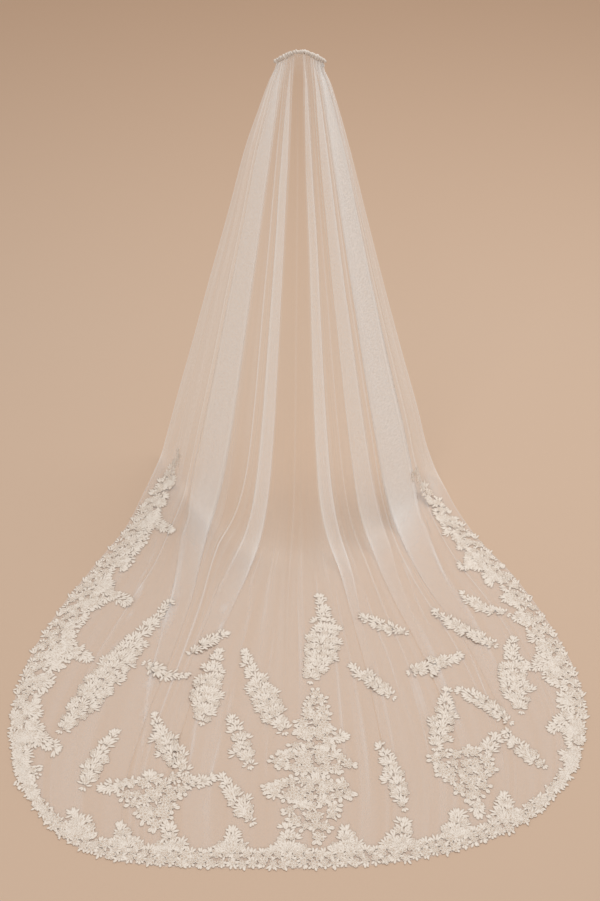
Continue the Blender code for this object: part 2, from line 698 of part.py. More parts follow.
def main():
    for item in list(bpy.data.objects):
        bpy.data.objects.remove(item)
    veil = bpy.data.collections.new("bridal_veil")
    bpy.context.scene.collection.children.link(veil)
    tulle = new_material("ivory_tulle", (0.93, 0.90, 0.86), 0.75)
    lace = new_material("ivory_lace", (0.90, 0.86, 0.81), 0.85)
    band = new_material("band_binding", (0.92, 0.89, 0.85), 0.60)
    rows, wall = build_tulle(tulle, veil)
    cover = tulle_cover(wall)
    build_band(band, veil)
    build_side_border("lace_border_left", rows, False, LEFT_WIDTH, LEFT_SPRAYS, cover, lace, veil)
    build_side_border("lace_border_right", rows, True, RIGHT_WIDTH, RIGHT_SPRAYS, cover, lace, veil)
    build_hem_border(rows, cover, lace, veil)
    for spray in SPRAYS:
        build_spray(spray, cover, lace, veil)


main()
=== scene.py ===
"""The looks of a cathedral bridal veil: soft gathered tulle, its rolled band, and corded lace sewn on it."""

import math
import random
from collections import namedtuple

import bmesh
import bpy
from mathutils import Matrix, Vector
from mathutils.bvhtree import BVHTree


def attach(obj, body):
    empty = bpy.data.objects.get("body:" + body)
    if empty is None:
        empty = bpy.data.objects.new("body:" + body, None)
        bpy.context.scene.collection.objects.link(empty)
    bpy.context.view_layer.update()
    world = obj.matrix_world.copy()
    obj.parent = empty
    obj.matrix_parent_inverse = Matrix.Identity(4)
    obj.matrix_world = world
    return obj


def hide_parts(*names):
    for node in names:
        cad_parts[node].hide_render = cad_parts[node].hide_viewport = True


# Metres, in the frame's own axes: the floor, and the height of the cloth's middle where it lies there.
FLOOR = -1.600
REST = FLOOR + 0.0010
UP = Vector((0, 0, 1))

# The band: its radius in the part, how much fuller its net is, and the share of the arch that its dip takes.
BAND_RADIUS = 0.0060
BAND_ROUND = 1.22
BAND_DIP = 0.11
BAND_REACH = 1.03
BAND_STEPS = 300
BAND_SIDES = 14

# The cloth's own form from the band to the hem, the same as the part's, and its folds.
Section = namedtuple("Section", "mid_y mid_z left_x left_y right_x right_y side_z left_round right_round")
SECTIONS = [
    Section(0.000, -0.0125, -0.063, 0.022, 0.063, 0.022, -0.050, 1.0, 1.0),
    Section(-0.006, -0.0450, -0.071, 0.030, 0.068, 0.028, -0.074, 1.0, 1.0),
    Section(-0.015, -0.0950, -0.088, 0.038, 0.085, 0.033, -0.114, 1.0, 1.0),
    Section(-0.030, -0.1800, -0.114, 0.048, 0.108, 0.038, -0.190, 1.0, 1.0),
    Section(-0.055, -0.3200, -0.158, 0.068, 0.145, 0.044, -0.325, 1.0, 1.0),
    Section(-0.095, -0.5500, -0.216, 0.101, 0.201, 0.061, -0.550, 1.0, 1.0),
    Section(-0.140, -0.8000, -0.284, 0.138, 0.264, 0.080, -0.800, 1.0, 1.0),
    Section(-0.187, -1.0500, -0.350, 0.174, 0.330, 0.099, -1.050, 1.0, 1.0),
    Section(-0.235, -1.2800, -0.413, 0.208, 0.393, 0.116, -1.280, 1.0, 1.0),
    Section(-0.268, -1.4300, -0.455, 0.231, 0.432, 0.127, -1.440, 1.0, 1.0),
    Section(-0.300, -1.5250, -0.481, 0.238, 0.462, 0.130, -1.535, 1.0, 1.0),
    Section(-0.345, -1.5720, -0.495, 0.218, 0.482, 0.112, -1.578, 1.0, 1.0),
    Section(-0.410, -1.5910, -0.512, 0.160, 0.503, 0.062, -1.5945, 1.0, 1.0),
    Section(-0.495, REST, -0.543, 0.030, 0.536, -0.050, REST, 0.95, 0.95),
    Section(-0.610, REST, -0.587, -0.145, 0.590, -0.190, REST, 0.85, 0.88),
    Section(-0.770, REST, -0.668, -0.320, 0.684, -0.360, REST, 0.70, 0.80),
    Section(-0.930, REST, -0.752, -0.510, 0.760, -0.540, REST, 0.55, 0.72),
    Section(-1.080, REST, -0.812, -0.700, 0.814, -0.725, REST, 0.40, 0.65),
    Section(-1.210, REST, -0.832, -0.860, 0.828, -0.870, REST, 0.28, 0.60),
    Section(-1.325, REST, -0.820, -0.985, 0.805, -0.995, REST, 0.16, 0.55),
    Section(-1.420, REST, -0.790, -1.080, 0.775, -1.075, REST, 0.06, 0.50),
]
LAST = len(SECTIONS) - 1
CORNER_POWER = 6
ARCH_POWER = 1.4

# line is how dense the net looks along a fold's edge, and the other columns are as in the part.
Fold = namedtuple("Fold", "name lean hang contact spread wide_hang wide_floor end gathers line")
FOLDS = [
    Fold("left_outer", 0, -0.79, -0.80, -0.82, 0.012, 0.012, 17.5, 1, 0.16),
    Fold("left_sweep", -1, -0.57, -0.62, -0.57, 0.17, 0.110, 18.0, 2, 0.16),
    Fold("left_line", 0, -0.39, -0.53, -0.52, 0.014, 0.012, 18.0, 2, 0.26),
    Fold("left_inner", -1, -0.23, -0.33, -0.43, 0.075, 0.090, 18.2, 3, 0.20),
    Fold("middle_line", 0, -0.04, -0.07, -0.06, 0.014, 0.010, 17.0, 3, 0.07),
    Fold("right_inner", 1, 0.15, 0.27, 0.29, 0.075, 0.055, 17.4, 2, 0.20),
    Fold("right_line", 0, 0.33, 0.43, 0.46, 0.014, 0.012, 17.5, 2, 0.12),
    Fold("right_middle", 1, 0.43, 0.50, 0.54, 0.105, 0.085, 17.0, 1, 0.12),
    Fold("right_fan", 0, 0.595, 0.63, 0.67, 0.014, 0.012, 18.0, 1, 0.16),
    Fold("right_sweep", 1, 0.65, 0.68, 0.72, 0.180, 0.120, 17.6, 1, 0.18),
    Fold("right_outer", 0, 0.885, 0.87, 0.87, 0.012, 0.012, 17.5, 1, 0.16),
]
HANG, LEAVE, CONTACT, SPREAD = 4, 8, 12, 16
EDGE_SHARES = (1.0, 0.965, 0.925)
EDGE_LINE = 0.16
GATHER_LINE = 0.012
GATHER_PITCH = 2 / (len(FOLDS) + sum(fold.gathers for fold in FOLDS) + 1)

# The heights and layers of the folds at each section, as in the part.
GATHER_HEIGHT = ((0, 0.0070), (1, 0.0080), (3, 0.0070), (5, 0.0040), (8, 0.0024), (11, 0.0))
RIDGE_HEIGHT = ((0, 0.0070), (2, 0.0080), (5, 0.0060), (10, 0.0055), (14, 0.0050), (18, 0.0030))
LAYER = ((0, 0.0040), (11, 0.0036), (14, 0.0022))
UPRIGHT = ((0, 1.0), (1, 0.85), (2, 0.52), (3, 0.20), (4, 0.0))
TURN = 0.0022
CREST = 0.0009
FOLD_RUNOUT = 4.0
OPEN_RIDGE = 0.0030
RIDGE_SIDE = 0.0016
RIDGE_FOOT = 0.012
RIDGE_FOOT_SHARE = 0.045
FEET_APART = ((0, 0.0007), (1, 0.0028))
EDGE_GAP = 0.012
SETTLE_ROUNDS = 40

# A pleat's layers look sheerer down the train: the section where they are faintest, the sections it takes,
# what is left of them, and how sheer the pleat's tip is besides.
FADE_END = 15.2
FADE_RUN = 4.4
FOLD_TRACE = 0.12
TIP_SHEER = ((8, 0.85), (13, 0.35))

# How finely the cloth is made: rows to a section, and the steps between two columns, closest beside them.
ROWS_EACH = 8
STEPS = (0.0, 0.08, 0.32, 0.68, 0.92)
LINE_WIDTH = 0.0028
HALF_FLAT_WIDTH = 0.85
HALF_FLAT_LENGTH = 1.5
CLOTH_FLOOR_GAP = 0.0006

# How dense one layer of net looks across the hanging stretch, on the train and close under the band, and how
# the net and the lines of its folds grow or fade from the band down.
HANG_DENSITY = (
    (-1.00, 0.34), (-0.90, 0.32), (-0.78, 0.28), (-0.765, 0.08), (-0.745, 0.08), (-0.735, 0.27),
    (-0.64, 0.28), (-0.55, 0.23), (-0.49, 0.10), (-0.44, 0.12), (-0.40, 0.16), (-0.35, 0.12),
    (-0.31, 0.20), (-0.25, 0.20), (-0.20, 0.030), (-0.05, 0.018), (0.12, 0.030), (0.16, 0.20),
    (0.23, 0.20), (0.28, 0.12), (0.42, 0.13), (0.47, 0.22), (0.57, 0.21), (0.62, 0.14), (0.67, 0.36),
    (0.76, 0.40), (0.84, 0.33), (0.88, 0.29), (1.00, 0.34),
)
FLOOR_DENSITY = 0.16
DENSITY_SCALE = ((0, 2.1), (1, 1.55), (2, 1.3), (4, 1.12), (7, 1.06), (10, 1.0))
NEAR_BAND = ((0, 0.30), (0.8, 0.13), (2.0, 0.0))
LINE_SCALE = ((0, 0.5), (2, 0.65), (4, 1.0), (7, 1.2), (10, 1.1), (13, 0.8))

# Long soft creases on the train: the share of the half width where one starts and ends, the sections between
# which it runs, its half width and height in metres, and its line.
Crease = namedtuple("Crease", "start end top foot width height line")
CREASES = [
    Crease(-0.93, -0.90, 12.4, 16.0, 0.006, 0.0024, 0.05),
    Crease(-0.86, -0.74, 13.2, 16.8, 0.004, 0.0030, 0.09),
    Crease(-0.74, -0.62, 12.2, 15.6, 0.005, 0.0026, 0.07),
    Crease(-0.70, -0.50, 13.6, 18.0, 0.004, 0.0030, 0.08),
    Crease(-0.47, -0.50, 12.0, 16.4, 0.006, 0.0020, 0.05),
    Crease(-0.42, -0.36, 13.0, 18.4, 0.004, 0.0028, 0.10),
    Crease(-0.30, -0.27, 11.8, 15.2, 0.007, 0.0020, 0.04),
    Crease(-0.26, -0.31, 14.4, 18.8, 0.004, 0.0026, 0.07),
    Crease(-0.19, -0.20, 11.6, 14.6, 0.005, 0.0022, 0.05),
    Crease(-0.15, -0.10, 13.4, 18.6, 0.005, 0.0024, 0.06),
    Crease(-0.02, 0.01, 12.2, 15.8, 0.004, 0.0022, 0.06),
    Crease(0.05, 0.04, 14.0, 18.2, 0.006, 0.0020, 0.04),
    Crease(0.10, 0.12, 11.4, 14.8, 0.005, 0.0022, 0.05),
    Crease(0.17, 0.15, 13.0, 17.4, 0.004, 0.0028, 0.08),
    Crease(0.22, 0.23, 11.8, 18.6, 0.004, 0.0030, 0.10),
    Crease(0.33, 0.32, 14.2, 18.4, 0.005, 0.0024, 0.06),
    Crease(0.38, 0.40, 12.6, 16.8, 0.004, 0.0028, 0.09),
    Crease(0.47, 0.43, 14.8, 18.8, 0.005, 0.0022, 0.06),
    Crease(0.58, 0.56, 13.8, 18.0, 0.004, 0.0030, 0.09),
    Crease(0.66, 0.60, 12.4, 15.0, 0.006, 0.0020, 0.05),
    Crease(0.72, 0.66, 14.6, 18.6, 0.004, 0.0026, 0.08),
    Crease(0.80, 0.77, 12.2, 16.6, 0.005, 0.0030, 0.10),
    Crease(0.84, 0.87, 13.8, 17.4, 0.004, 0.0026, 0.07),
    Crease(0.93, 0.92, 12.6, 15.6, 0.006, 0.0022, 0.05),
]
CREASE_SHINE = 1.9
CREASE_REACH = 2.5

# The lace's width along each side, its inset near its tip above the floor, and its inward sprays by their
# section and their reach.
LEFT_WIDTH = ((9.6, 0.010), (10, 0.034), (12, 0.085), (14, 0.112), (16, 0.130), (20, 0.132))
RIGHT_WIDTH = ((9.6, 0.006), (10, 0.024), (12, 0.065), (14, 0.100), (16, 0.104), (20, 0.110))
TIP_INSET = ((9.6, 0.120), (10, 0.105), (11, 0.085), (12, 0.062), (13, 0.030), (14, 0.002), (20, 0.002))
LEFT_SPRAYS = ((13.4, 0.060), (15.2, 0.075), (16.4, 0.070), (18.3, 0.075))
RIGHT_SPRAYS = ((14.4, 0.030), (16.7, 0.045), (18.2, 0.030))
SIDE_SPRAY_WIDTH = 0.110

# The hem's border: its width, the share of the hem that it takes, its rows of flowers and its points.
HEM_END = 0.97
HEM_ROWS = (0.015, 0.039, 0.060)
HEM_WIDTH = 0.068
HEM_POINT = 0.085
HEM_POINTS_AT = (-0.57, -0.45, -0.33, -0.18, -0.03, 0.12, 0.26, 0.40, 0.54)
HEM_POINT_HALF = 0.062

# The lace sprays on the train, each by its piece of the part, and the small ones sewn with some of them.
Spray = namedtuple("Spray", "name root_x root_y tip_x tip_y width bend form")
SPRAYS = [
    Spray("spray_left_long", -0.68, -0.98, -0.41, -0.48, 0.110, 0.00, "leaf"),
    Spray("spray_left_small", -0.33, -0.69, -0.22, -0.61, 0.040, 0.00, "leaf"),
    Spray("spray_left_centre", -0.28, -0.95, -0.24, -0.68, 0.100, 0.01, "leaf"),
    Spray("spray_left_inner", -0.14, -1.10, -0.20, -0.93, 0.070, 0.00, "leaf"),
    Spray("spray_centre_long", -0.045, -0.985, -0.17, -0.68, 0.090, 0.01, "leaf"),
    Spray("spray_left_low", -0.32, -1.120, -0.42, -0.92, 0.070, 0.01, "leaf"),
    Spray("spray_left_side", -0.59, -1.17, -0.52, -0.98, 0.075, 0.01, "leaf"),
    Spray("spray_hem_left", -0.13, -1.28, -0.22, -1.13, 0.064, 0.00, "leaf"),
    Spray("cluster_left", -0.40, -1.160, -0.388, -1.290, 0.180, 0.00, "fan"),
    Spray("cluster_centre_crown", 0.038, -1.030, 0.048, -0.855, 0.130, 0.00, "fan"),
    Spray("cluster_centre_shoulder", 0.135, -1.087, -0.085, -1.087, 0.085, 0.00, "bar"),
    Spray("cluster_centre_tier", 0.14, -1.181, -0.105, -1.181, 0.085, 0.00, "bar"),
    Spray("cluster_centre_foot", 0.034, -1.236, 0.045, -1.325, 0.150, 0.00, "fan"),
    Spray("spray_centre_tall", 0.03, -0.80, 0.06, -0.455, 0.115, -0.028, "leaf"),
    Spray("spray_right_small", 0.32, -0.61, 0.19, -0.54, 0.044, 0.01, "leaf"),
    Spray("spray_right_upper", 0.59, -0.66, 0.42, -0.52, 0.056, 0.01, "leaf"),
    Spray("spray_right_branch", 0.645, -0.535, 0.51, -0.44, 0.050, 0.02, "leaf"),
    Spray("spray_right_rising", 0.33, -0.77, 0.49, -0.70, 0.066, 0.00, "leaf"),
    Spray("spray_right_inner", 0.27, -0.86, 0.15, -0.74, 0.060, 0.00, "leaf"),
    Spray("spray_right_tall", 0.64, -0.91, 0.65, -0.63, 0.100, 0.01, "leaf"),
    Spray("spray_right_slant", 0.60, -0.95, 0.46, -0.83, 0.060, -0.01, "leaf"),
    Spray("spray_right_centre", 0.38, -1.04, 0.43, -0.83, 0.078, -0.01, "leaf"),
    Spray("spray_right_side", 0.675, -1.10, 0.58, -0.98, 0.060, 0.01, "leaf"),
    Spray("spray_hem_right", 0.28, -1.235, 0.22, -1.03, 0.070, -0.01, "leaf"),
    Spray("cluster_right", 0.45, -1.065, 0.475, -1.225, 0.180, 0.00, "fan"),
]
EXTRA_SPRAYS = {
    "spray_left_long": [Spray("curl", -0.46, -0.735, -0.33, -0.78, 0.046, -0.02, "leaf")],
    "cluster_left": [
        Spray("arm", -0.305, -1.165, -0.235, -1.140, 0.044, 0.00, "leaf"),
        Spray("shoulder", -0.475, -1.168, -0.550, -1.172, 0.046, 0.00, "leaf"),
        Spray("top", -0.415, -1.160, -0.416, -1.122, 0.040, 0.00, "leaf"),
    ],
    "cluster_right": [
        Spray("spike", 0.525, -1.065, 0.555, -0.995, 0.044, 0.00, "leaf"),
        Spray("foot", 0.470, -1.215, 0.482, -1.268, 0.044, 0.00, "leaf"),
    ],
    "cluster_centre_crown": [Spray("wing", 0.095, -1.010, 0.135, -1.000, 0.036, 0.00, "leaf")],
}

# The lace's motifs: a petal's place and sizes are shares of its flower's radius, the rest is in metres.
PETALS = 5
PETAL_SIDES = 6
PETAL_RADIUS = 0.41
PETAL_OUT = 0.59
PETAL_CORD = 0.10
PETAL_DIP = 0.08
PETAL_FLATTEN = 0.94
LOBE_LENGTH = 0.024
LOBE_WIDTH = 0.0074
LOBE_PITCH = 0.0090
LOBE_SEGMENTS = 5
PALM_PITCH = 0.0165
FLOWER_PITCH = 0.0265
SPRAY_FLOWER_PITCH = 1.1 * FLOWER_PITCH
TIER_LENGTH = 0.062
NARROW = 0.016
TIP = 9.7

# The least and the greatest of the sizes that are drawn at random.
CLUSTER_FLOWER = (0.028, 0.037)
BORDER_FLOWER = (0.025, 0.033)
SPRAY_FLOWER = (0.023, 0.031)
SMALL_SPRAY_FLOWER = (0.018, 0.023)
MOUND_FLOWER = (0.024, 0.030)
UNDER_LOBE = (0.014, 0.019)
EDGE_PETAL = (0.015, 0.019)
EDGE_PETAL_WIDTH = 0.0125

# How the lace lies on the cloth: its lift, its relief, and how far out its place on the cloth is looked for.
LACE_LIFT = 0.0007
LACE_HEIGHT = 0.0011
LACE_UNEVEN = 0.0005
FLOWER_LIFT = 0.0006
LEAF_LIFT = 0.0003
LOOK_FROM = 0.03

# Colours, and the darker colour each thread gets on its low relief between the cords: painted shade, and for
# the lace also its sheerer fill.
TULLE_COLOUR = (0.965, 0.945, 0.925)
LACE_COLOUR, LACE_FILL_AND_SHADE = (0.887, 0.812, 0.73), (0.59, 0.47, 0.37)
BAND_COLOUR, BAND_PAINTED_SHADE = (0.84, 0.785, 0.73), (0.50, 0.42, 0.35)
FLOOR_COLOUR, FAR_FLOOR_SHADE_COLOUR = (0.62, 0.455, 0.338), (0.63, 0.42, 0.285)
LIGHT_COLOUR = (1.0, 0.985, 0.97)
STUDIO_STRENGTH = 0.56

CAMERA_PLACE = Vector((0.0, -3.2, 1.304))
CAMERA_PITCH = math.radians(40)
CAMERA_LENS = 50.0

rng = random.Random(11)


def clamped(value):
    """The value, kept between nought and one."""
    return max(0.0, min(1.0, value))


def smooth_between(a, b, c, d, share):
    """A smooth curve through four values or points, between the middle two."""
    curve = 2 * b + (c - a) * share + (2 * a - 5 * b + 4 * c - d) * share ** 2
    return 0.5 * (curve + (3 * b - a - 3 * c + d) * share ** 3)


def along(table, place):
    """The value of a table of (place, value) pairs, on straight runs between its lines."""
    if place <= table[0][0]:
        return table[0][1]
    for (start, low), (end, high) in zip(table, table[1:]):
        if place <= end:
            return low + (high - low) * (place - start) / (end - start)
    return table[-1][1]


def sheet_section(place):
    """The section at a place between two lines of the table, on a smooth curve through all of them."""
    whole = min(int(place), LAST - 1)
    share = place - whole
    before, here = SECTIONS[max(whole - 1, 0)], SECTIONS[whole]
    after, beyond = SECTIONS[whole + 1], SECTIONS[min(whole + 2, LAST)]
    smooth = Section(*(smooth_between(*four, share) for four in zip(before, here, after, beyond)))
    return smooth._replace(mid_z=max(smooth.mid_z, REST), side_z=max(smooth.side_z, REST))


def sheet_point(section, share):
    """A point of the unfolded sheet, at a share of the half width from -1 on the left to 1 on the right."""
    left = share < 0
    edge_x = -section.left_x if left else section.right_x
    edge_y = section.left_y if left else section.right_y
    roundness = section.left_round if left else section.right_round
    rise = roundness * share ** 2 + (1 - roundness) * abs(share) ** CORNER_POWER
    y = section.mid_y + (edge_y - section.mid_y) * rise
    z = section.mid_z + (section.side_z - section.mid_z) * abs(share) ** ARCH_POWER
    return Vector((edge_x * share, y, z))


def sheet_frame(here, above, below, place, share):
    """A point of the unfolded sheet with the direction across it and the one out of its upper side."""
    step = 0.02
    point = sheet_point(here, share)
    across = (sheet_point(here, share + step) - sheet_point(here, share - step)).normalized()
    if place >= CONTACT:
        across.z = 0
        return point, across.normalized(), UP
    out = (sheet_point(below, share) - sheet_point(above, share)).normalized().cross(across).normalized()
    if place == 0:
        out = band_upwards(across).cross(across) * -1
    return point, across, out


def sections_at(place):
    """The section at a place, with the ones a little above and below it."""
    return sheet_section(place), sheet_section(max(place - 0.1, 0)), sheet_section(min(place + 0.1, LAST))


def frame_at(place, share):
    """A point of the unfolded sheet at a place, with the directions across and out of it."""
    return sheet_frame(*sections_at(place), place, share)


def band_upwards(across):
    """The direction from the gathered edge into its band, square to the arch."""
    return Vector((0, -1, 0)).cross(across).normalized()


def eased(table, place):
    """The value of a table of (place, value) pairs, on a smooth curve through its lines."""
    if place <= table[0][0]:
        return table[0][1]
    if place >= table[-1][0]:
        return table[-1][1]
    slopes = [(high - low) / (end - start) for (start, low), (end, high) in zip(table, table[1:])]
    turns = [0.0] + [(a + b) / 2 for a, b in zip(slopes, slopes[1:])] + [0.0]
    index = max(number for number, line in enumerate(table) if line[0] <= place)
    (start, low), (end, high) = table[index], table[index + 1]
    run, share = end - start, (place - start) / (end - start)
    bend = share * (1 - share) * run * (turns[index] * (1 - share) - turns[index + 1] * share)
    return low + (high - low) * share ** 2 * (3 - 2 * share) + bend


def fold_place(comb, hang, contact, spread, place):
    """Where a fold lies, from its places on the band, the hanging stretch, at the floor and on the train."""
    if place <= HANG:
        return along(((0, comb), (HANG, hang)), place)
    return eased(((HANG, hang), (LEAVE, hang), (CONTACT, contact), (SPREAD, spread)), place)


def laid_fold(fold, centre, place):
    """The six columns of a pleat that stands on the band and lies down to one side below it."""
    upright = along(UPRIGHT, place)
    width = along(((HANG, fold.wide_hang), (9, fold.wide_hang), (CONTACT, fold.wide_floor)), place)
    left = fold.end - place
    flat = clamped(1 - left)
    width *= (1 - upright) * clamped((left - 1) / FOLD_RUNOUT)
    layer = along(LAYER, place)
    height = along(GATHER_HEIGHT, 0)
    tip = centre + fold.lean * width
    stand = [
        (-2.2 * CREST, -0.17 * height), (-1.6 * CREST, 0.17 * height), (-CREST, 0.5 * height),
        (CREST, 0.5 * height), (1.6 * CREST, 0.17 * height), (2.2 * CREST, -0.17 * height),
    ]
    lie = [
        (centre, 0.0, 0.0), (centre, 1.0, 0.5 * layer), (tip, 0.0, layer),
        (tip, -1.0, 1.5 * layer), (centre, 1.6, 2 * layer), (centre, 3.6, 0.0),
    ]
    spread = [(-5, 0.0), (-3, 0.6), (-1, 1.0), (1, 1.0), (3, 0.6), (5, 0.0)]
    lines = [0.3, 0.6, 0.5, 0.8, 0.2, 0.0]
    fade = max(FOLD_TRACE, min(1.0, (FADE_END - place) / FADE_RUN))
    tip_fade = fade * along(TIP_SHEER, place)
    sheers = [1.0, fade, tip_fade, tip_fade, fade, 1.0]
    if fold.lean > 0:
        stand = [(-across, up) for across, up in reversed(stand)]
        lie = [(share, -turns, up) for share, turns, up in reversed(lie)]
        lines.reverse()
        sheers.reverse()
    low = OPEN_RIDGE * clamped(0.65 + left)
    columns = []
    parts = zip(stand, lie, spread, lines, sheers)
    for (stand_across, stand_up), (share, turns, lie_up), (wide, rise), line, sheer in parts:
        turns = (1 - flat) * turns + flat * wide
        lie_up = (1 - flat) * lie_up + flat * rise * low
        across = upright * stand_across + (1 - upright) * turns * TURN
        out = upright * stand_up + (1 - upright) * lie_up
        line *= fold.line * fade * (1 - flat)
        columns.append((share, across, out, line, sheer + (1 - sheer) * flat))
    return columns


def ridge_fold(fold, centre, place):
    """The three columns of a thin fold that shows as a line."""
    upright = along(UPRIGHT, place)
    fading = clamped((fold.end - place) / 3)
    width = min(RIDGE_FOOT, RIDGE_FOOT_SHARE * -sheet_section(place).left_x)
    height = along(RIDGE_HEIGHT, place) * fading
    low = -0.5 * height * upright
    side = upright * RIDGE_SIDE + (1 - upright) * width
    line = fold.line * fading
    foot, top = low * 0.3, low + height
    return [(centre, -side, foot, 0.0, 1.0), (centre, 0.0, top, line, 1.0), (centre, side, foot, 0.0, 1.0)]


def fold_reach(fold, side):
    """How far a fold covers the sheet on one side, on the hanging stretch, at the floor and on the train."""
    if fold is None:
        return (0.94, 0.94, 0.94)
    leans_here = (side == "right" and fold.lean > 0) or (side == "left" and fold.lean < 0)
    hang = fold.hang + (fold.lean * fold.wide_hang if leans_here else 0)
    contact = fold.contact + (fold.lean * fold.wide_floor if leans_here else 0)
    spread = fold.spread + (fold.lean * fold.wide_floor * 0.3 if leans_here else 0)
    return (hang, contact, spread)


def fold_marks(place):
    """The folds and small gathers of one section in order with their wanted places; a gather has no fold."""
    marks = [(None, fold_place(-1 + GATHER_PITCH, -0.885, -0.875, -0.875, place))]
    comb = -1 + 2 * GATHER_PITCH
    for fold, following in zip(FOLDS, FOLDS[1:] + [None]):
        marks.append((fold, fold_place(comb, fold.hang, fold.contact, fold.spread, place)))
        comb += GATHER_PITCH
        for number in range(fold.gathers):
            share = (number + 1) / (fold.gathers + 1)
            reach = zip(fold_reach(fold, "right"), fold_reach(following, "left"))
            spots = [low + (high - low) * share for low, high in reach]
            marks.append((None, fold_place(comb, *spots, place)))
            comb += GATHER_PITCH
    return marks


def mark_columns(fold, centre, place):
    """The columns of one fold or small gather as (share, metres across, metres out, line, how sheer)."""
    if fold is None:
        gather = along(GATHER_HEIGHT, place)
        return [(centre, 0.0, gather - 0.5 * gather * along(UPRIGHT, place), GATHER_LINE, 1.0)]
    if fold.lean:
        return laid_fold(fold, centre, place)
    return ridge_fold(fold, centre, place)


def settle_marks(marks, place):
    """Moves neighbours apart where their feet would meet, and gives each mark's columns and its two feet."""
    section = sheet_section(place)
    centres = [centre for _, centre in marks]
    apart = along(FEET_APART, place)
    for _ in range(SETTLE_ROUNDS):
        groups = [mark_columns(fold, centre, place) for (fold, _), centre in zip(marks, centres)]
        feet = []
        for group, centre in zip(groups, centres):
            metre = 0.02 / (sheet_point(section, centre + 0.01) - sheet_point(section, centre - 0.01)).length
            spots = [column[0] + column[1] * metre for column in group]
            feet.append((min(spots), max(spots), metre))
        crowded = False
        for index in range(len(marks) - 1):
            short = feet[index][1] + apart * feet[index][2] - feet[index + 1][0]
            if short > 0:
                crowded = True
                centres[index] -= short / 2
                centres[index + 1] += short / 2
        centres[0] = max(centres[0], -EDGE_SHARES[-1] + EDGE_GAP)
        centres[-1] = min(centres[-1], EDGE_SHARES[-1] - EDGE_GAP)
        if not crowded:
            break
    return groups, feet


def section_columns(place):
    """Every column of one section as (share, metres across, metres out, line, how sheer), left to right."""
    valley = -0.5 * along(GATHER_HEIGHT, place) * along(UPRIGHT, place)
    groups, feet = settle_marks(fold_marks(place), place)
    edge = [(0.4 * valley, EDGE_LINE), (0.0, 0.0), (0.0, 0.0)]
    columns = [(-share, 0.0, low, line, 1.0) for share, (low, line) in zip(EDGE_SHARES, edge)]
    previous = columns[-1][0]
    for group, (left, right, _) in zip(groups, feet):
        columns.append(((previous + left) / 2, 0.0, valley, 0.0, 1.0))
        columns += group
        previous = right
    columns.append(((previous + EDGE_SHARES[-1]) / 2, 0.0, valley, 0.0, 1.0))
    for share, (low, line) in zip(reversed(EDGE_SHARES), reversed(edge)):
        columns.append((share, 0.0, low, line, 1.0))
    return columns


def crease_at(share, place, half):
    """The height and line that the train's long creases add at a point."""
    height = line = 0.0
    for crease in CREASES:
        if not crease.top < place < crease.foot:
            continue
        run = (place - crease.top) / (crease.foot - crease.top)
        fade = math.sin(math.pi * run) ** 0.6
        centre = crease.start + (crease.end - crease.start) * run
        far = abs(share - centre) * half / crease.width
        if far < CREASE_REACH:
            bump = math.exp(-far * far) * fade
            height += crease.height * bump
            line += CREASE_SHINE * crease.line * bump ** 2
    return height, line


def tulle_row(place):
    """One row of the visible cloth as points, with how dense the net looks at each."""
    here, above, below = sections_at(place)
    spots = []
    for share, across, out, line, sheer in section_columns(place):
        point, side, up = sheet_frame(here, above, below, place, share)
        spots.append((point + side * across + up * out, share, line, sheer, up))
    scale, line_scale = along(DENSITY_SCALE, place), along(LINE_SCALE, place)
    # Low on the hanging stretch the net grows as dense as on the train: partly the layers where the sheet
    # bends onto the floor, partly painted light over the shadow that the hanging veil casts on the floor
    # behind it.
    near_floor_layers_and_light = clamped((place - 7.5) / 3.0)
    on_floor = clamped((place - 10.0) / 3.0)
    half = (here.right_x - here.left_x) / 2
    row = []
    for index, (point, share, line, sheer, up) in enumerate(spots):
        before = spots[max(index - 1, 0)][0]
        after, after_share, after_line, after_sheer, _ = spots[min(index + 1, len(spots) - 1)]
        beyond = spots[min(index + 2, len(spots) - 1)][0]
        for step in STEPS if index + 1 < len(spots) else (0.0,):
            place_here = smooth_between(before, point, after, beyond, step)
            spot_share = share + (after_share - share) * step
            lines = line * math.exp(-((place_here - point).length / LINE_WIDTH) ** 2)
            lines += after_line * math.exp(-((place_here - after).length / LINE_WIDTH) ** 2) if step else 0.0
            height, crease_line = crease_at(spot_share, place, half)
            net = along(HANG_DENSITY, spot_share) * scale
            # Partly painted light: whiter net above the floor contact, over the hanging veil's shadow behind
            # it.
            net += max(0.0, FLOOR_DENSITY - net) * near_floor_layers_and_light
            net += (FLOOR_DENSITY - net) * on_floor
            net = max(net, along(NEAR_BAND, place)) * (sheer + (after_sheer - sheer) * step)
            spot = place_here + up * height
            spot.z = max(spot.z, FLOOR + CLOTH_FLOOR_GAP)
            row.append((spot, net + lines * line_scale + crease_line))
    return row


def make_tulle():
    """The veil's net as one sheet on the form of its solid."""
    places = [number / ROWS_EACH for number in range(LAST * ROWS_EACH + 1)]
    rows = [tulle_row(place) for place in places]
    wide, long = len(rows[0]), len(rows)
    cloth = bmesh.new()
    cloth_map = cloth.loops.layers.uv.new("cloth")
    bmesh.ops.create_grid(cloth, x_segments=wide - 1, y_segments=long - 1, size=1.0)
    density = cloth.verts.layers.float.new("net_density")
    for face in cloth.faces:
        for loop in face.loops:
            across, down = loop.vert.co.x, loop.vert.co.y
            loop[cloth_map].uv = ((across + 1) * HALF_FLAT_WIDTH, (1 - down) * HALF_FLAT_LENGTH)
    for vert in cloth.verts:
        column = round((vert.co.x + 1) / 2 * (wide - 1))
        line = round((1 - vert.co.y) / 2 * (long - 1))
        vert.co, vert[density] = rows[line][column]
    return finish_mesh(cloth, "tulle_net", smooth=True, recalculate=False)


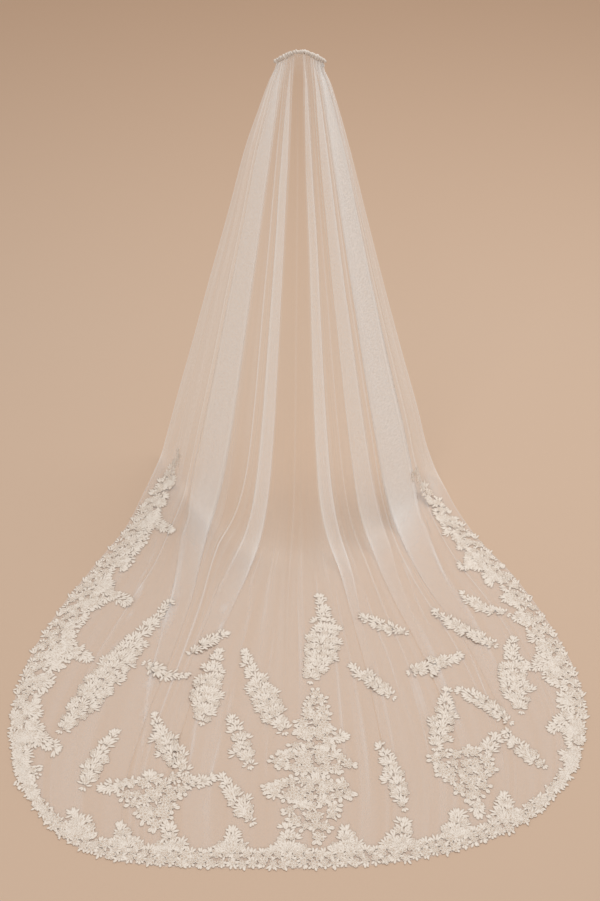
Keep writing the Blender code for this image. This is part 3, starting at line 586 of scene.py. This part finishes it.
def finish_mesh(shape, name, smooth, recalculate=True):
    """A bmesh made into a finished piece at the origin."""
    if recalculate:
        bmesh.ops.recalc_face_normals(shape, faces=shape.faces)
    for face in shape.faces:
        face.smooth = smooth
    mesh = bpy.data.meshes.new(name)
    shape.to_mesh(mesh)
    shape.free()
    item = bpy.data.objects.new(name, mesh)
    bpy.context.scene.collection.objects.link(item)
    return item


def make_flower():
    """A flower of five round petals, each with a raised cord round a sunk middle, and a small eye."""
    flower = bmesh.new()
    for number in range(PETALS):
        turn = Matrix.Rotation(2 * math.pi * number / PETALS, 3, "Z")
        petal = bmesh.ops.create_circle(flower, cap_ends=True, segments=PETAL_SIDES, radius=PETAL_RADIUS)
        outside = petal["verts"]
        middle = list(outside[0].link_faces)
        bmesh.ops.inset_individual(flower, faces=middle, thickness=PETAL_CORD)
        cord = list(middle[0].verts)
        bmesh.ops.inset_individual(flower, faces=middle, thickness=PETAL_DIP)
        inside = list(middle[0].verts)
        # These heights, and the disc's and eye's below, also set the colour: the low edge and sunk middle get
        # the painted shade and sheerer fill, the raised cord and eye are bright.
        for verts, height in ((outside, 0.1), (cord, 1.0), (inside, 0.0)):
            for vert in verts:
                place = Vector((PETAL_OUT + vert.co.x, vert.co.y * PETAL_FLATTEN, 0))
                vert.co = turn @ place
                vert.co.z = height
    for radius, height in ((0.38, 0.15), (0.12, 0.9)):
        for vert in bmesh.ops.create_circle(flower, cap_ends=True, segments=6, radius=radius)["verts"]:
            vert.co.z = height
    mesh = bpy.data.meshes.new("flower_motif")
    flower.to_mesh(mesh)
    flower.free()
    return mesh


def make_lobe(name, heights):
    """A lobe with a round end, one metre long from its root, with its heights from the middle to the edge."""
    lobe = bmesh.new()
    bmesh.ops.create_grid(lobe, x_segments=LOBE_SEGMENTS, y_segments=2 * (len(heights) - 1), size=1.0)
    for vert in lobe.verts:
        run, side = (vert.co.x + 1) / 2, vert.co.y
        half = 0.5 * math.sin(math.pi * run ** 1.25) ** 0.55 if 0.001 < run < 0.999 else 0.0
        height = heights[round(abs(side) * (len(heights) - 1))]
        vert.co = (run, side * half, height * (0.45 + 0.55 * math.sin(math.pi * min(max(run, 0.1), 0.9))))
    bmesh.ops.remove_doubles(lobe, verts=lobe.verts, dist=0.004)
    mesh = bpy.data.meshes.new(name)
    lobe.to_mesh(mesh)
    lobe.free()
    return mesh


class Sewing:
    """One piece of lace, sewn motif by motif onto the tulle."""

    def __init__(self, name, cover):
        self.name = name
        self.cover = cover
        self.lace = bmesh.new()
        self.cord = self.lace.verts.layers.float.new("cord")

    def sew(self, motif, centre, heading, out, length, width, lift=0.0):
        """Lays a motif on the cloth: heading is its own x direction, and lift is extra height in metres."""
        side = out.cross(heading).normalized()
        start = len(self.lace.verts)
        self.lace.from_mesh(motif)
        self.lace.verts.ensure_lookup_table()
        ground = self.ground(centre, out)
        raised = LACE_LIFT + lift + rng.uniform(0.0, LACE_UNEVEN)
        for vert in self.lace.verts[start:]:
            spot = centre + heading * (vert.co.x * length) + side * (vert.co.y * width)
            low = self.ground(spot, out)
            low = ground if low is None else low
            height = vert.co.z
            vert.co = spot + out * ((low or 0.0) + raised + height * LACE_HEIGHT)
            # The height also goes to the cord attribute, which colours low relief darker: painted shade, with
            # the lace's sheerer fill.
            vert[self.cord] = height

    def ground(self, spot, out):
        """How far the cloth's top lies above a point, along the way out of the cloth."""
        hit, _, _, distance = self.cover.ray_cast(spot + out * LOOK_FROM, -out, 2 * LOOK_FROM)
        return None if hit is None else LOOK_FROM - distance

    def flower(self, centre, out, size):
        """One flower, turned at random."""
        turn = Matrix.Rotation(rng.uniform(0, 2 * math.pi), 3, out)
        start = out.orthogonal().normalized()
        self.sew(FLOWER, centre, turn @ start, out, size / 2, size / 2, FLOWER_LIFT)

    def lobe(self, root, heading, out, length, width=LOBE_WIDTH):
        self.sew(LOBE, root, heading, out, length, width * rng.uniform(0.92, 1.12))

    def leaf(self, root, heading, out, length, width):
        self.sew(LEAF, root, heading, out, length, width, LEAF_LIFT)

    def finish(self):
        item = finish_mesh(self.lace, self.name, smooth=True, recalculate=False)
        item.data.materials.append(LACE_THREAD)
        return item


def turned(heading, out, degrees):
    """A heading on the cloth, turned round the way out of it."""
    return Matrix.Rotation(math.radians(degrees), 3, out) @ heading


def sew_palm(piece, root, heading, out, reach, spread, lobes):
    """A fan of lobes from one root, like an open hand."""
    for number in range(lobes):
        angle = spread * (2 * number / (lobes - 1) - 1) if lobes > 1 else 0.0
        length = reach * (1 - 0.28 * (abs(angle) / 90) ** 2) * rng.uniform(0.82, 1.10)
        way = turned(heading, out, angle + rng.uniform(-7, 7))
        piece.lobe(root + way * 0.003, way, out, length)


def sew_mound(piece, root, heading, out, radius, spread):
    """A round mound: short lobes in loose rings round a flower, with two more flowers among them."""
    ring = 0.008
    while ring < radius - 0.012:
        lobes = max(3, round(math.radians(2 * spread) * (ring + 0.008) / LOBE_PITCH))
        for number in range(lobes):
            way = turned(heading, out, spread * (2 * (number + rng.uniform(0.1, 0.9)) / lobes - 1))
            start = root + way * (ring + rng.uniform(-0.005, 0.004))
            reach = rng.uniform(0.011, 0.019)
            piece.lobe(start, turned(way, out, rng.uniform(-38, 38)), out, reach, 1.12 * LOBE_WIDTH)
        ring += 0.0098
    sew_flower(piece, root + heading * 0.006, out, 0.034)
    for side in (-1, 1):
        way = turned(heading, out, side * rng.uniform(0.25, 0.65) * spread)
        piece.flower(root + way * (radius * rng.uniform(0.40, 0.62)), out, rng.uniform(*MOUND_FLOWER))


def leaf_swell(share):
    """Half of a pointed spray's width along its length, as a share of its greatest."""
    return max(0.12, math.sin(math.pi * min(1.0, 0.07 + 0.93 * share) ** 0.80))


def tip_swell(share):
    """The same for a spray that grows out of a border, widest at its root."""
    return 1.0 - 0.80 * share ** 0.9


def sew_spray(piece, root, tip, out, width, bend, swell):
    """A pointed spray: small palms in uneven tiers down both sides of its stem, and flowers low down."""
    spine = tip - root
    length = spine.length
    heading = spine.normalized()
    side = out.cross(heading)

    def stem(share):
        return root + spine * share + side * (bend * math.sin(math.pi * share))

    rows = max(3, round(length / PALM_PITCH))
    tiers = max(1, round(length / TIER_LENGTH))
    first_tier = rng.random()
    for row in range(rows):
        share = (row + 0.15) / rows
        centre = stem(share)
        for sign in (-1, 1):
            tier = (share * tiers + first_tier + 0.3 * sign) % 1.0
            half = width / 2 * swell(share) * (1.20 - 0.44 * tier) * rng.uniform(0.90, 1.10)
            across = 0.004 if half > NARROW else 0.001
            while across < max(half - 0.70 * LOBE_LENGTH, 0.005):
                start = centre + side * (sign * across + rng.uniform(-0.004, 0.004))
                start += heading * rng.uniform(-0.005, 0.005)
                lean = 24 + 30 * across / max(half, 0.01) + rng.uniform(-16, 16)
                lobes, small = (3, 0.75) if half < NARROW else (4, 1.0)
                reach = LOBE_LENGTH * small * rng.uniform(0.85, 1.12)
                sew_palm(piece, start, turned(heading, out, sign * lean), out, reach, 44, lobes)
                across += PALM_PITCH
    size = SPRAY_FLOWER if width > 0.055 else SMALL_SPRAY_FLOWER
    for row in range(round(0.62 * length / SPRAY_FLOWER_PITCH)):
        share = (row + 0.5) * SPRAY_FLOWER_PITCH / length
        half = width / 2 * swell(share) - NARROW
        count = max(1, round(2 * half / SPRAY_FLOWER_PITCH) + 1)
        for number in range(count):
            across = half * (2 * number / (count - 1) - 1) if count > 1 and half > 0 else 0.0
            spot = stem(share) + side * (across + rng.uniform(-0.005, 0.005))
            spot += heading * rng.uniform(-0.007, 0.007)
            piece.flower(spot, out, rng.uniform(*size))
    sew_palm(piece, tip - heading * 0.019, heading, out, 0.024, 20, 3)
    sew_palm(piece, root, -heading, out, 0.015, 34, 3)


def sew_flower(piece, spot, out, size):
    """A flower with a few lobes under it, which fill the gaps to its neighbours."""
    for _ in range(3):
        way = turned(out.orthogonal().normalized(), out, rng.uniform(0, 360))
        piece.lobe(spot + way * 0.006, way, out, rng.uniform(*UNDER_LOBE))
    piece.flower(spot, out, size)


def sew_petals(piece, spot, away, out, count):
    """Single round petals that stick out past the edge of a cluster."""
    for number in range(count):
        way = turned(away, out, 46 * (number - (count - 1) / 2) + rng.uniform(-14, 14))
        piece.leaf(spot + way * 0.011, way, out, rng.uniform(*EDGE_PETAL), EDGE_PETAL_WIDTH)


def sew_cluster(piece, root, tip, out, width, form):
    """A cluster of flowers with an uneven edge: a fan runs down to a point, and a bar has two round ends."""
    spine = tip - root
    heading = spine.normalized()
    side = out.cross(heading)
    rows = max(2, round(spine.length / FLOWER_PITCH))
    for row in range(rows + 1):
        share = row / rows
        swell = 1.0 - 0.80 * share ** 1.3
        if form == "bar":
            share = 0.07 + 0.86 * share
            swell = max(0.35, math.sin(math.pi * min(1.0, 0.10 + 0.84 * share) ** 0.90))
        half = width / 2 * swell * rng.uniform(0.90, 1.10)
        count = max(1, round(2 * half / (1.04 * FLOWER_PITCH)))
        for number in range(count):
            across = (-half + (number + 0.5) * 2 * half / count) if count > 1 else 0.0
            stagger = 0.5 * FLOWER_PITCH * (number % 2) if row == 0 else 0.0
            spot = root + spine * share + side * (across + rng.uniform(-0.006, 0.006))
            spot += heading * (rng.uniform(-0.006, 0.006) - stagger)
            away = (spot - (root + spine * min(0.45, share))).normalized()
            if number in (0, count - 1) or row in (0, rows):
                sew_petals(piece, spot, turned(away, out, rng.uniform(-30, 30)), out, 2)
            sew_flower(piece, spot, out, rng.uniform(*CLUSTER_FLOWER))


def edge_scale(place, right):
    """Metres to one share of the half width, near an edge."""
    section = sheet_section(place)
    sign = 1 if right else -1
    return (sheet_point(section, sign) - sheet_point(section, 0.9 * sign)).length / 0.1


def sew_side(piece, right, widths, sprays):
    """A side's border: flowers along the edge, mounds of lobes over them that point up and in, and sprays."""
    sign = 1 if right else -1
    place = TIP
    number = 0
    while place < LAST:
        section, ahead = sheet_section(place), sheet_section(place + 0.1)
        inset, width, scale = along(TIP_INSET, place), along(widths, place), edge_scale(place, right)
        if place < LAST - 0.1:
            share = sign * (1 - inset / scale)
            rate = sheet_point(ahead, share) - sheet_point(section, share)
        down = rate.normalized()
        wave = 0.86 + 0.20 * math.sin(number * 1.9) + 0.08 * math.sin(number * 0.7 + 1)
        inner, across, out = frame_at(place, sign * (1 - (inset + width * wave - 0.022) / scale))
        inwards = (across * -sign - down * 0.75).normalized()
        reach = (0.018 + 0.08 * width) * rng.uniform(0.85, 1.15)
        sew_palm(piece, inner, turned(inwards, out, rng.uniform(-25, 25)), out, reach, 56, 5)
        far = 0.017 + 0.5 * (number % 2) * FLOWER_PITCH
        while far < max(width * wave - 0.020, 0.018):
            point, across, out = frame_at(place, sign * (1 - (inset + far) / scale))
            spot = point + down * rng.uniform(-0.007, 0.007) + across * rng.uniform(-0.005, 0.005)
            if far < 0.5 * width or rng.random() < 0.55:
                sew_flower(piece, spot, out, rng.uniform(*BORDER_FLOWER) if width > 0.03 else NARROW)
            else:
                sew_palm(piece, spot, turned(inwards, out, rng.uniform(-35, 35)), out, LOBE_LENGTH, 60, 6)
            far += FLOWER_PITCH
        if width > 0.05 and number % 4 == 1:
            middle, _, _ = frame_at(place, sign * (1 - (inset + width * 0.50) / scale))
            sew_mound(piece, middle, turned(inwards, out, rng.uniform(-15, 15)), out, 0.55 * width * wave, 62)
        outer, _, _ = frame_at(place, sign * (1 - (inset + 0.014) / scale))
        outwards = (across * sign - down * (0.9 if number % 3 == 0 else 0.1)).normalized()
        if number % 3 == 0:
            sew_palm(piece, outer, turned(outwards, out, rng.uniform(-12, 12)), out, 0.028, 24, 3)
        else:
            way = turned(outwards, out, rng.uniform(-30, 30))
            sew_palm(piece, outer - outwards * 0.004, way, out, rng.uniform(0.013, 0.019), 44, 3)
        number += 1
        place += 0.1 * FLOWER_PITCH / rate.length
    for centre, reach in sprays:
        scale = edge_scale(centre, right)
        inset = along(TIP_INSET, centre) + along(widths, centre)
        point, across, out = frame_at(centre, sign * (1 - (inset - 0.055) / scale))
        section, behind = sheet_section(centre), sheet_section(centre - 0.1)
        up = (sheet_point(behind, sign * 0.9) - sheet_point(section, sign * 0.9)).normalized()
        heading = (across * -sign + up * 0.55).normalized()
        sew_spray(piece, point, point + heading * (reach + 0.060), out, SIDE_SPRAY_WIDTH, 0.0, tip_swell)


def hem_point(share, inset):
    """A point a distance up from the hem's edge, with the way up from the edge."""
    section, above = sheet_section(LAST), sheet_section(LAST - 0.6)
    edge = sheet_point(section, share)
    up = (sheet_point(above, share) - edge).normalized()
    return edge + up * inset, up


def sew_hem(piece):
    """The hem's border: palms and rows of flowers along the edge, with pointed sprays that rise from them."""
    section = sheet_section(LAST)
    share = -HEM_END
    while share < HEM_END:
        step = FLOWER_PITCH / (sheet_point(section, share + 0.01) - sheet_point(section, share)).length * 0.01
        root, up = hem_point(share, HEM_WIDTH - 0.026)
        nearest = min(HEM_POINTS_AT, key=lambda at: abs(root.x - at))
        lean = (root.x - nearest) / HEM_POINT_HALF
        peak = max(0.0, 1 - abs(lean))
        way = turned(up, UP, -26 * lean + rng.uniform(-28, 28))
        sew_palm(piece, root, way, UP, rng.uniform(0.016, 0.024) + 0.008 * peak, 46, 4)
        low, _ = hem_point(share, 0.014)
        way = turned(up, UP, 180 + rng.uniform(-45, 45))
        sew_palm(piece, low, way, UP, rng.uniform(0.012, 0.017), 48, 3)
        for row, inset in enumerate(HEM_ROWS):
            spot, _ = hem_point(share + 0.5 * step * (row % 2), inset + rng.uniform(-0.006, 0.006))
            if row < 2 or peak > 0.35:
                sew_flower(piece, spot, UP, rng.uniform(*BORDER_FLOWER))
        share += step
    for at in HEM_POINTS_AT:
        shares = (number / 200 for number in range(-200, 201))
        share = next(share for share in shares if sheet_point(section, share).x >= at)
        root, up = hem_point(share, HEM_WIDTH - 0.022)
        tip = root + turned(up, UP, rng.uniform(-14, 14)) * (HEM_POINT * rng.uniform(0.85, 1.05))
        sew_spray(piece, root, tip, UP, rng.uniform(0.090, 0.115), 0.0, tip_swell)


def make_band():
    """The rolled binding over the gathered edge: a tube of ruched net along the arch."""
    band = bmesh.new()
    cord = band.verts.layers.float.new("cord")
    bmesh.ops.create_grid(band, x_segments=BAND_STEPS, y_segments=BAND_SIDES, size=1.0)
    top = SECTIONS[0]
    for vert in band.verts:
        share, turn = vert.co.x * BAND_REACH, math.pi * vert.co.y
        across = (sheet_point(top, share + 0.01) - sheet_point(top, share - 0.01)).normalized()
        up = band_upwards(across)
        front = up.cross(across)
        ruche = math.sin(share * 83 + 2.4 * math.sin(share * 17) + 1.3 * turn)
        ruche *= 0.65 + 0.35 * math.sin(share * 41 + 0.7)
        uneven = 0.12 * math.sin(share * 11 + 1.0) + 0.10 * math.sin(share * 31)
        dip = math.exp(-(share / BAND_DIP) ** 2)
        radius = BAND_RADIUS * BAND_ROUND * (0.80 + 0.24 * ruche + uneven) * (1 - 0.30 * dip)
        radius *= min(1.0, 0.35 + 9 * (1.0 - abs(vert.co.x))) ** 0.5
        centre = sheet_point(top, share) + up * (BAND_RADIUS * (0.75 * BAND_ROUND - 0.55 * dip))
        vert.co = centre + up * (math.cos(turn) * radius) + front * (math.sin(turn) * radius * 0.9)
        # The ruche's crests take the bright colour and its troughs the darker one: painted shade in the
        # ruching.
        vert[cord] = 0.34 + 0.34 * ruche
    bmesh.ops.remove_doubles(band, verts=band.verts, dist=0.00002)
    edges = [edge for edge in band.edges if edge.is_boundary]
    bmesh.ops.holes_fill(band, edges=edges, sides=BAND_SIDES + 2)
    return finish_mesh(band, "rolled_band", smooth=True)


def principled(name, colour, roughness, sheen, sheen_roughness):
    """A soft matt material, with its nodes, links and shader."""
    material = bpy.data.materials.new(name)
    material.use_nodes = True
    nodes, links = material.node_tree.nodes, material.node_tree.links
    shader = nodes["Principled BSDF"]
    shader.inputs["Base Color"].default_value = (*colour, 1.0)
    shader.inputs["Roughness"].default_value = roughness
    shader.inputs["Specular IOR Level"].default_value = 0.25
    shader.inputs["Sheen Weight"].default_value = sheen
    shader.inputs["Sheen Roughness"].default_value = sheen_roughness
    return material, nodes, links, shader


def add_math(nodes, links, operation, *values):
    """A sum of sockets and constants."""
    node = nodes.new("ShaderNodeMath")
    node.operation = operation
    for socket, value in zip(node.inputs, values):
        if isinstance(value, (int, float)):
            socket.default_value = value
        else:
            links.new(value, socket)
    return node.outputs[0]


def add_noise(nodes, links, place, scale, detail):
    noise = nodes.new("ShaderNodeTexNoise")
    noise.inputs["Scale"].default_value = scale
    noise.inputs["Detail"].default_value = detail
    links.new(place, noise.inputs["Vector"])
    return noise.outputs["Fac"]


def add_attribute(nodes, name):
    attribute = nodes.new("ShaderNodeAttribute")
    attribute.attribute_name = name
    return attribute.outputs["Fac"]


def blend_colours(nodes, links, shader, share, first, second):
    """Blends two colours into the shader's base colour."""
    tint = nodes.new("ShaderNodeMix")
    tint.data_type = "RGBA"
    tint.inputs["A"].default_value = (*first, 1.0)
    tint.inputs["B"].default_value = (*second, 1.0)
    links.new(share, tint.inputs["Factor"])
    links.new(tint.outputs["Result"], shader.inputs["Base Color"])


def tulle_material():
    """Sheer net: its density comes from the cloth's gathers and folds, with soft streaks and a fine mesh."""
    material, nodes, links, shader = principled("sheer_tulle", TULLE_COLOUR, 0.7, 0.35, 0.4)
    cloth = nodes.new("ShaderNodeUVMap")
    cloth.uv_map = "cloth"
    stretch = nodes.new("ShaderNodeMapping")
    stretch.inputs["Scale"].default_value = (46.0, 0.9, 1.0)
    links.new(cloth.outputs["UV"], stretch.inputs["Vector"])
    streak = add_noise(nodes, links, stretch.outputs["Vector"], 1.0, 3.0)
    net = nodes.new("ShaderNodeTexVoronoi")
    net.feature = "DISTANCE_TO_EDGE"
    net.inputs["Scale"].default_value = 620.0
    links.new(cloth.outputs["UV"], net.inputs["Vector"])
    threads = add_math(nodes, links, "LESS_THAN", net.outputs["Distance"], 0.12)
    streaks = add_math(nodes, links, "MULTIPLY_ADD", streak, 1.5, 0.24)
    weave = add_math(nodes, links, "MULTIPLY_ADD", threads, 0.5, 0.85)
    cover = add_math(nodes, links, "MULTIPLY", add_attribute(nodes, "net_density"), streaks)
    cover = add_math(nodes, links, "MULTIPLY", cover, weave)
    cover = add_math(nodes, links, "MINIMUM", cover, 0.9)
    links.new(cover, shader.inputs["Alpha"])
    return material


def thread_material(name, colour, low_colour_and_shade, scale, bump):
    """Corded thread: bright on the cords and darker on the low relief between them, which is painted shade
    and, on the lace, also its sheerer fill, over a fine twisted relief.
    """
    material, nodes, links, shader = principled(name, colour, 0.75, 0.3, 0.4)
    place = nodes.new("ShaderNodeTexCoord").outputs["Object"]
    patches = add_noise(nodes, links, place, 70.0, 3.0)
    # Low relief gets the darker colour and raised cords the bright one: painted shade, and on the lace also
    # its sheerer fill.
    height = add_math(nodes, links, "MULTIPLY_ADD", add_attribute(nodes, "cord"), 0.95, -0.12)
    share = add_math(nodes, links, "MULTIPLY_ADD", patches, 0.40, height)
    blend_colours(nodes, links, shader, share, low_colour_and_shade, colour)
    relief = nodes.new("ShaderNodeBump")
    relief.inputs["Strength"].default_value = bump
    relief.inputs["Distance"].default_value = 0.0006
    links.new(add_noise(nodes, links, place, scale, 2.0), relief.inputs["Height"])
    links.new(relief.outputs["Normal"], shader.inputs["Normal"])
    return material


def floor_material():
    """A plain matt floor, a little warmer and darker far behind the veil: painted shade of the light's
    falloff there.
    """
    material, nodes, links, shader = principled("plain_floor", FLOOR_COLOUR, 0.9, 0.0, 0.5)
    shader.inputs["Specular IOR Level"].default_value = 0.1
    place = nodes.new("ShaderNodeTexCoord")
    parts = nodes.new("ShaderNodeSeparateXYZ")
    links.new(place.outputs["Object"], parts.inputs["Vector"])
    behind = nodes.new("ShaderNodeMapRange")
    behind.inputs["From Min"].default_value = 1.0
    behind.inputs["From Max"].default_value = 5.0
    links.new(parts.outputs["Y"], behind.inputs["Value"])
    blend_colours(nodes, links, shader, behind.outputs["Result"], FLOOR_COLOUR, FAR_FLOOR_SHADE_COLOUR)
    return material


def add_floor():
    floor = bmesh.new()
    bmesh.ops.create_grid(floor, x_segments=1, y_segments=1, size=16.0)
    bmesh.ops.translate(floor, verts=floor.verts, vec=(0, 0, FLOOR))
    item = finish_mesh(floor, "floor", smooth=False, recalculate=False)
    item.data.materials.append(floor_material())


def add_light(name, place, target, size, power):
    """A soft square light, turned to a target."""
    light = bpy.data.lights.new(name, "AREA")
    light.shape = "SQUARE"
    light.size = size
    light.energy = power
    light.color = LIGHT_COLOUR
    item = bpy.data.objects.new(name, light)
    item.location = place
    item.rotation_euler = (Vector(target) - Vector(place)).to_track_quat("-Z", "Y").to_euler()
    bpy.context.scene.collection.objects.link(item)


def add_studio():
    """The plain floor, two soft lights, an even room light and the camera."""
    scene = bpy.context.scene
    add_floor()
    add_light("key", place=(1.2, 0.8, 3.4), target=(-0.1, 0.4, -1.6), size=3.0, power=118)
    add_light("front", place=(-1.7, -5.6, 0.9), target=(0.0, 0.0, -0.8), size=2.6, power=74)
    world = bpy.data.worlds.new("studio")
    world.use_nodes = True
    world.node_tree.nodes["Background"].inputs["Color"].default_value = (*LIGHT_COLOUR, 1.0)
    world.node_tree.nodes["Background"].inputs["Strength"].default_value = STUDIO_STRENGTH
    scene.world = world
    camera = bpy.data.cameras.new("camera")
    camera.lens = CAMERA_LENS
    camera.sensor_width = 36.0
    camera.sensor_fit = "AUTO"
    item = bpy.data.objects.new("camera", camera)
    item.location = CAMERA_PLACE
    item.rotation_euler = (math.pi / 2 - CAMERA_PITCH, 0, 0)
    scene.collection.objects.link(item)
    scene.camera = item
    scene.view_settings.view_transform = "Standard"
    scene.view_settings.look = "None"
    scene.cycles.transparent_max_bounces = 64


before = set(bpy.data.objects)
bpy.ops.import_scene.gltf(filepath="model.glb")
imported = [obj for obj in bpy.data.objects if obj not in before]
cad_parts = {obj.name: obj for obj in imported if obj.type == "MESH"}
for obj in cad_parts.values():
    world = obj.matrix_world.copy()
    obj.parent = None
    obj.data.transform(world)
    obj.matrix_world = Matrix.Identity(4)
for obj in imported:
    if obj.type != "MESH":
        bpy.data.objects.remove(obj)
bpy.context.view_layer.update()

add_studio()

LACE_THREAD = thread_material("corded_lace", LACE_COLOUR, LACE_FILL_AND_SHADE, scale=900.0, bump=0.4)
FLOWER = make_flower()
# The lobes' heights also set their colour: low edges in painted shade, raised ridges bright.
LOBE = make_lobe("lobe_motif", heights=(1.0, 0.15))
LEAF = make_lobe("leaf_motif", heights=(0.35, 1.0, 0.1))

tulle = make_tulle()
tulle.data.materials.append(tulle_material())
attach(tulle, "root")
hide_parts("tulle")

band = make_band()
band.data.materials.append(thread_material("band_net", BAND_COLOUR, BAND_PAINTED_SHADE, scale=500.0, bump=0.5))
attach(band, "root")
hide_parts("gathered_band")

cover = BVHTree.FromObject(tulle, bpy.context.evaluated_depsgraph_get())


def sewn(node, sew, *details):
    """One piece of lace, sewn on the cloth and put in the place of its solid."""
    piece = Sewing("sewn_" + node, cover)
    sew(piece, *details)
    item = piece.finish()
    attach(item, "root")
    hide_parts(node)


def sew_train_piece(piece, spray):
    """A spray or cluster of the train, and the small ones sewn with it."""
    for motif in [spray] + EXTRA_SPRAYS.get(spray.name, []):
        root = Vector((motif.root_x, motif.root_y, REST))
        tip = Vector((motif.tip_x, motif.tip_y, REST))
        if motif.form == "leaf":
            sew_spray(piece, root, tip, UP, motif.width, motif.bend, leaf_swell)
        else:
            sew_cluster(piece, root, tip, UP, motif.width, motif.form)


sewn("lace_border_left", sew_side, False, LEFT_WIDTH, LEFT_SPRAYS)
sewn("lace_border_right", sew_side, True, RIGHT_WIDTH, RIGHT_SPRAYS)
sewn("lace_border_hem", sew_hem)
for spray in SPRAYS:
    sewn(spray.name, sew_train_piece, spray)
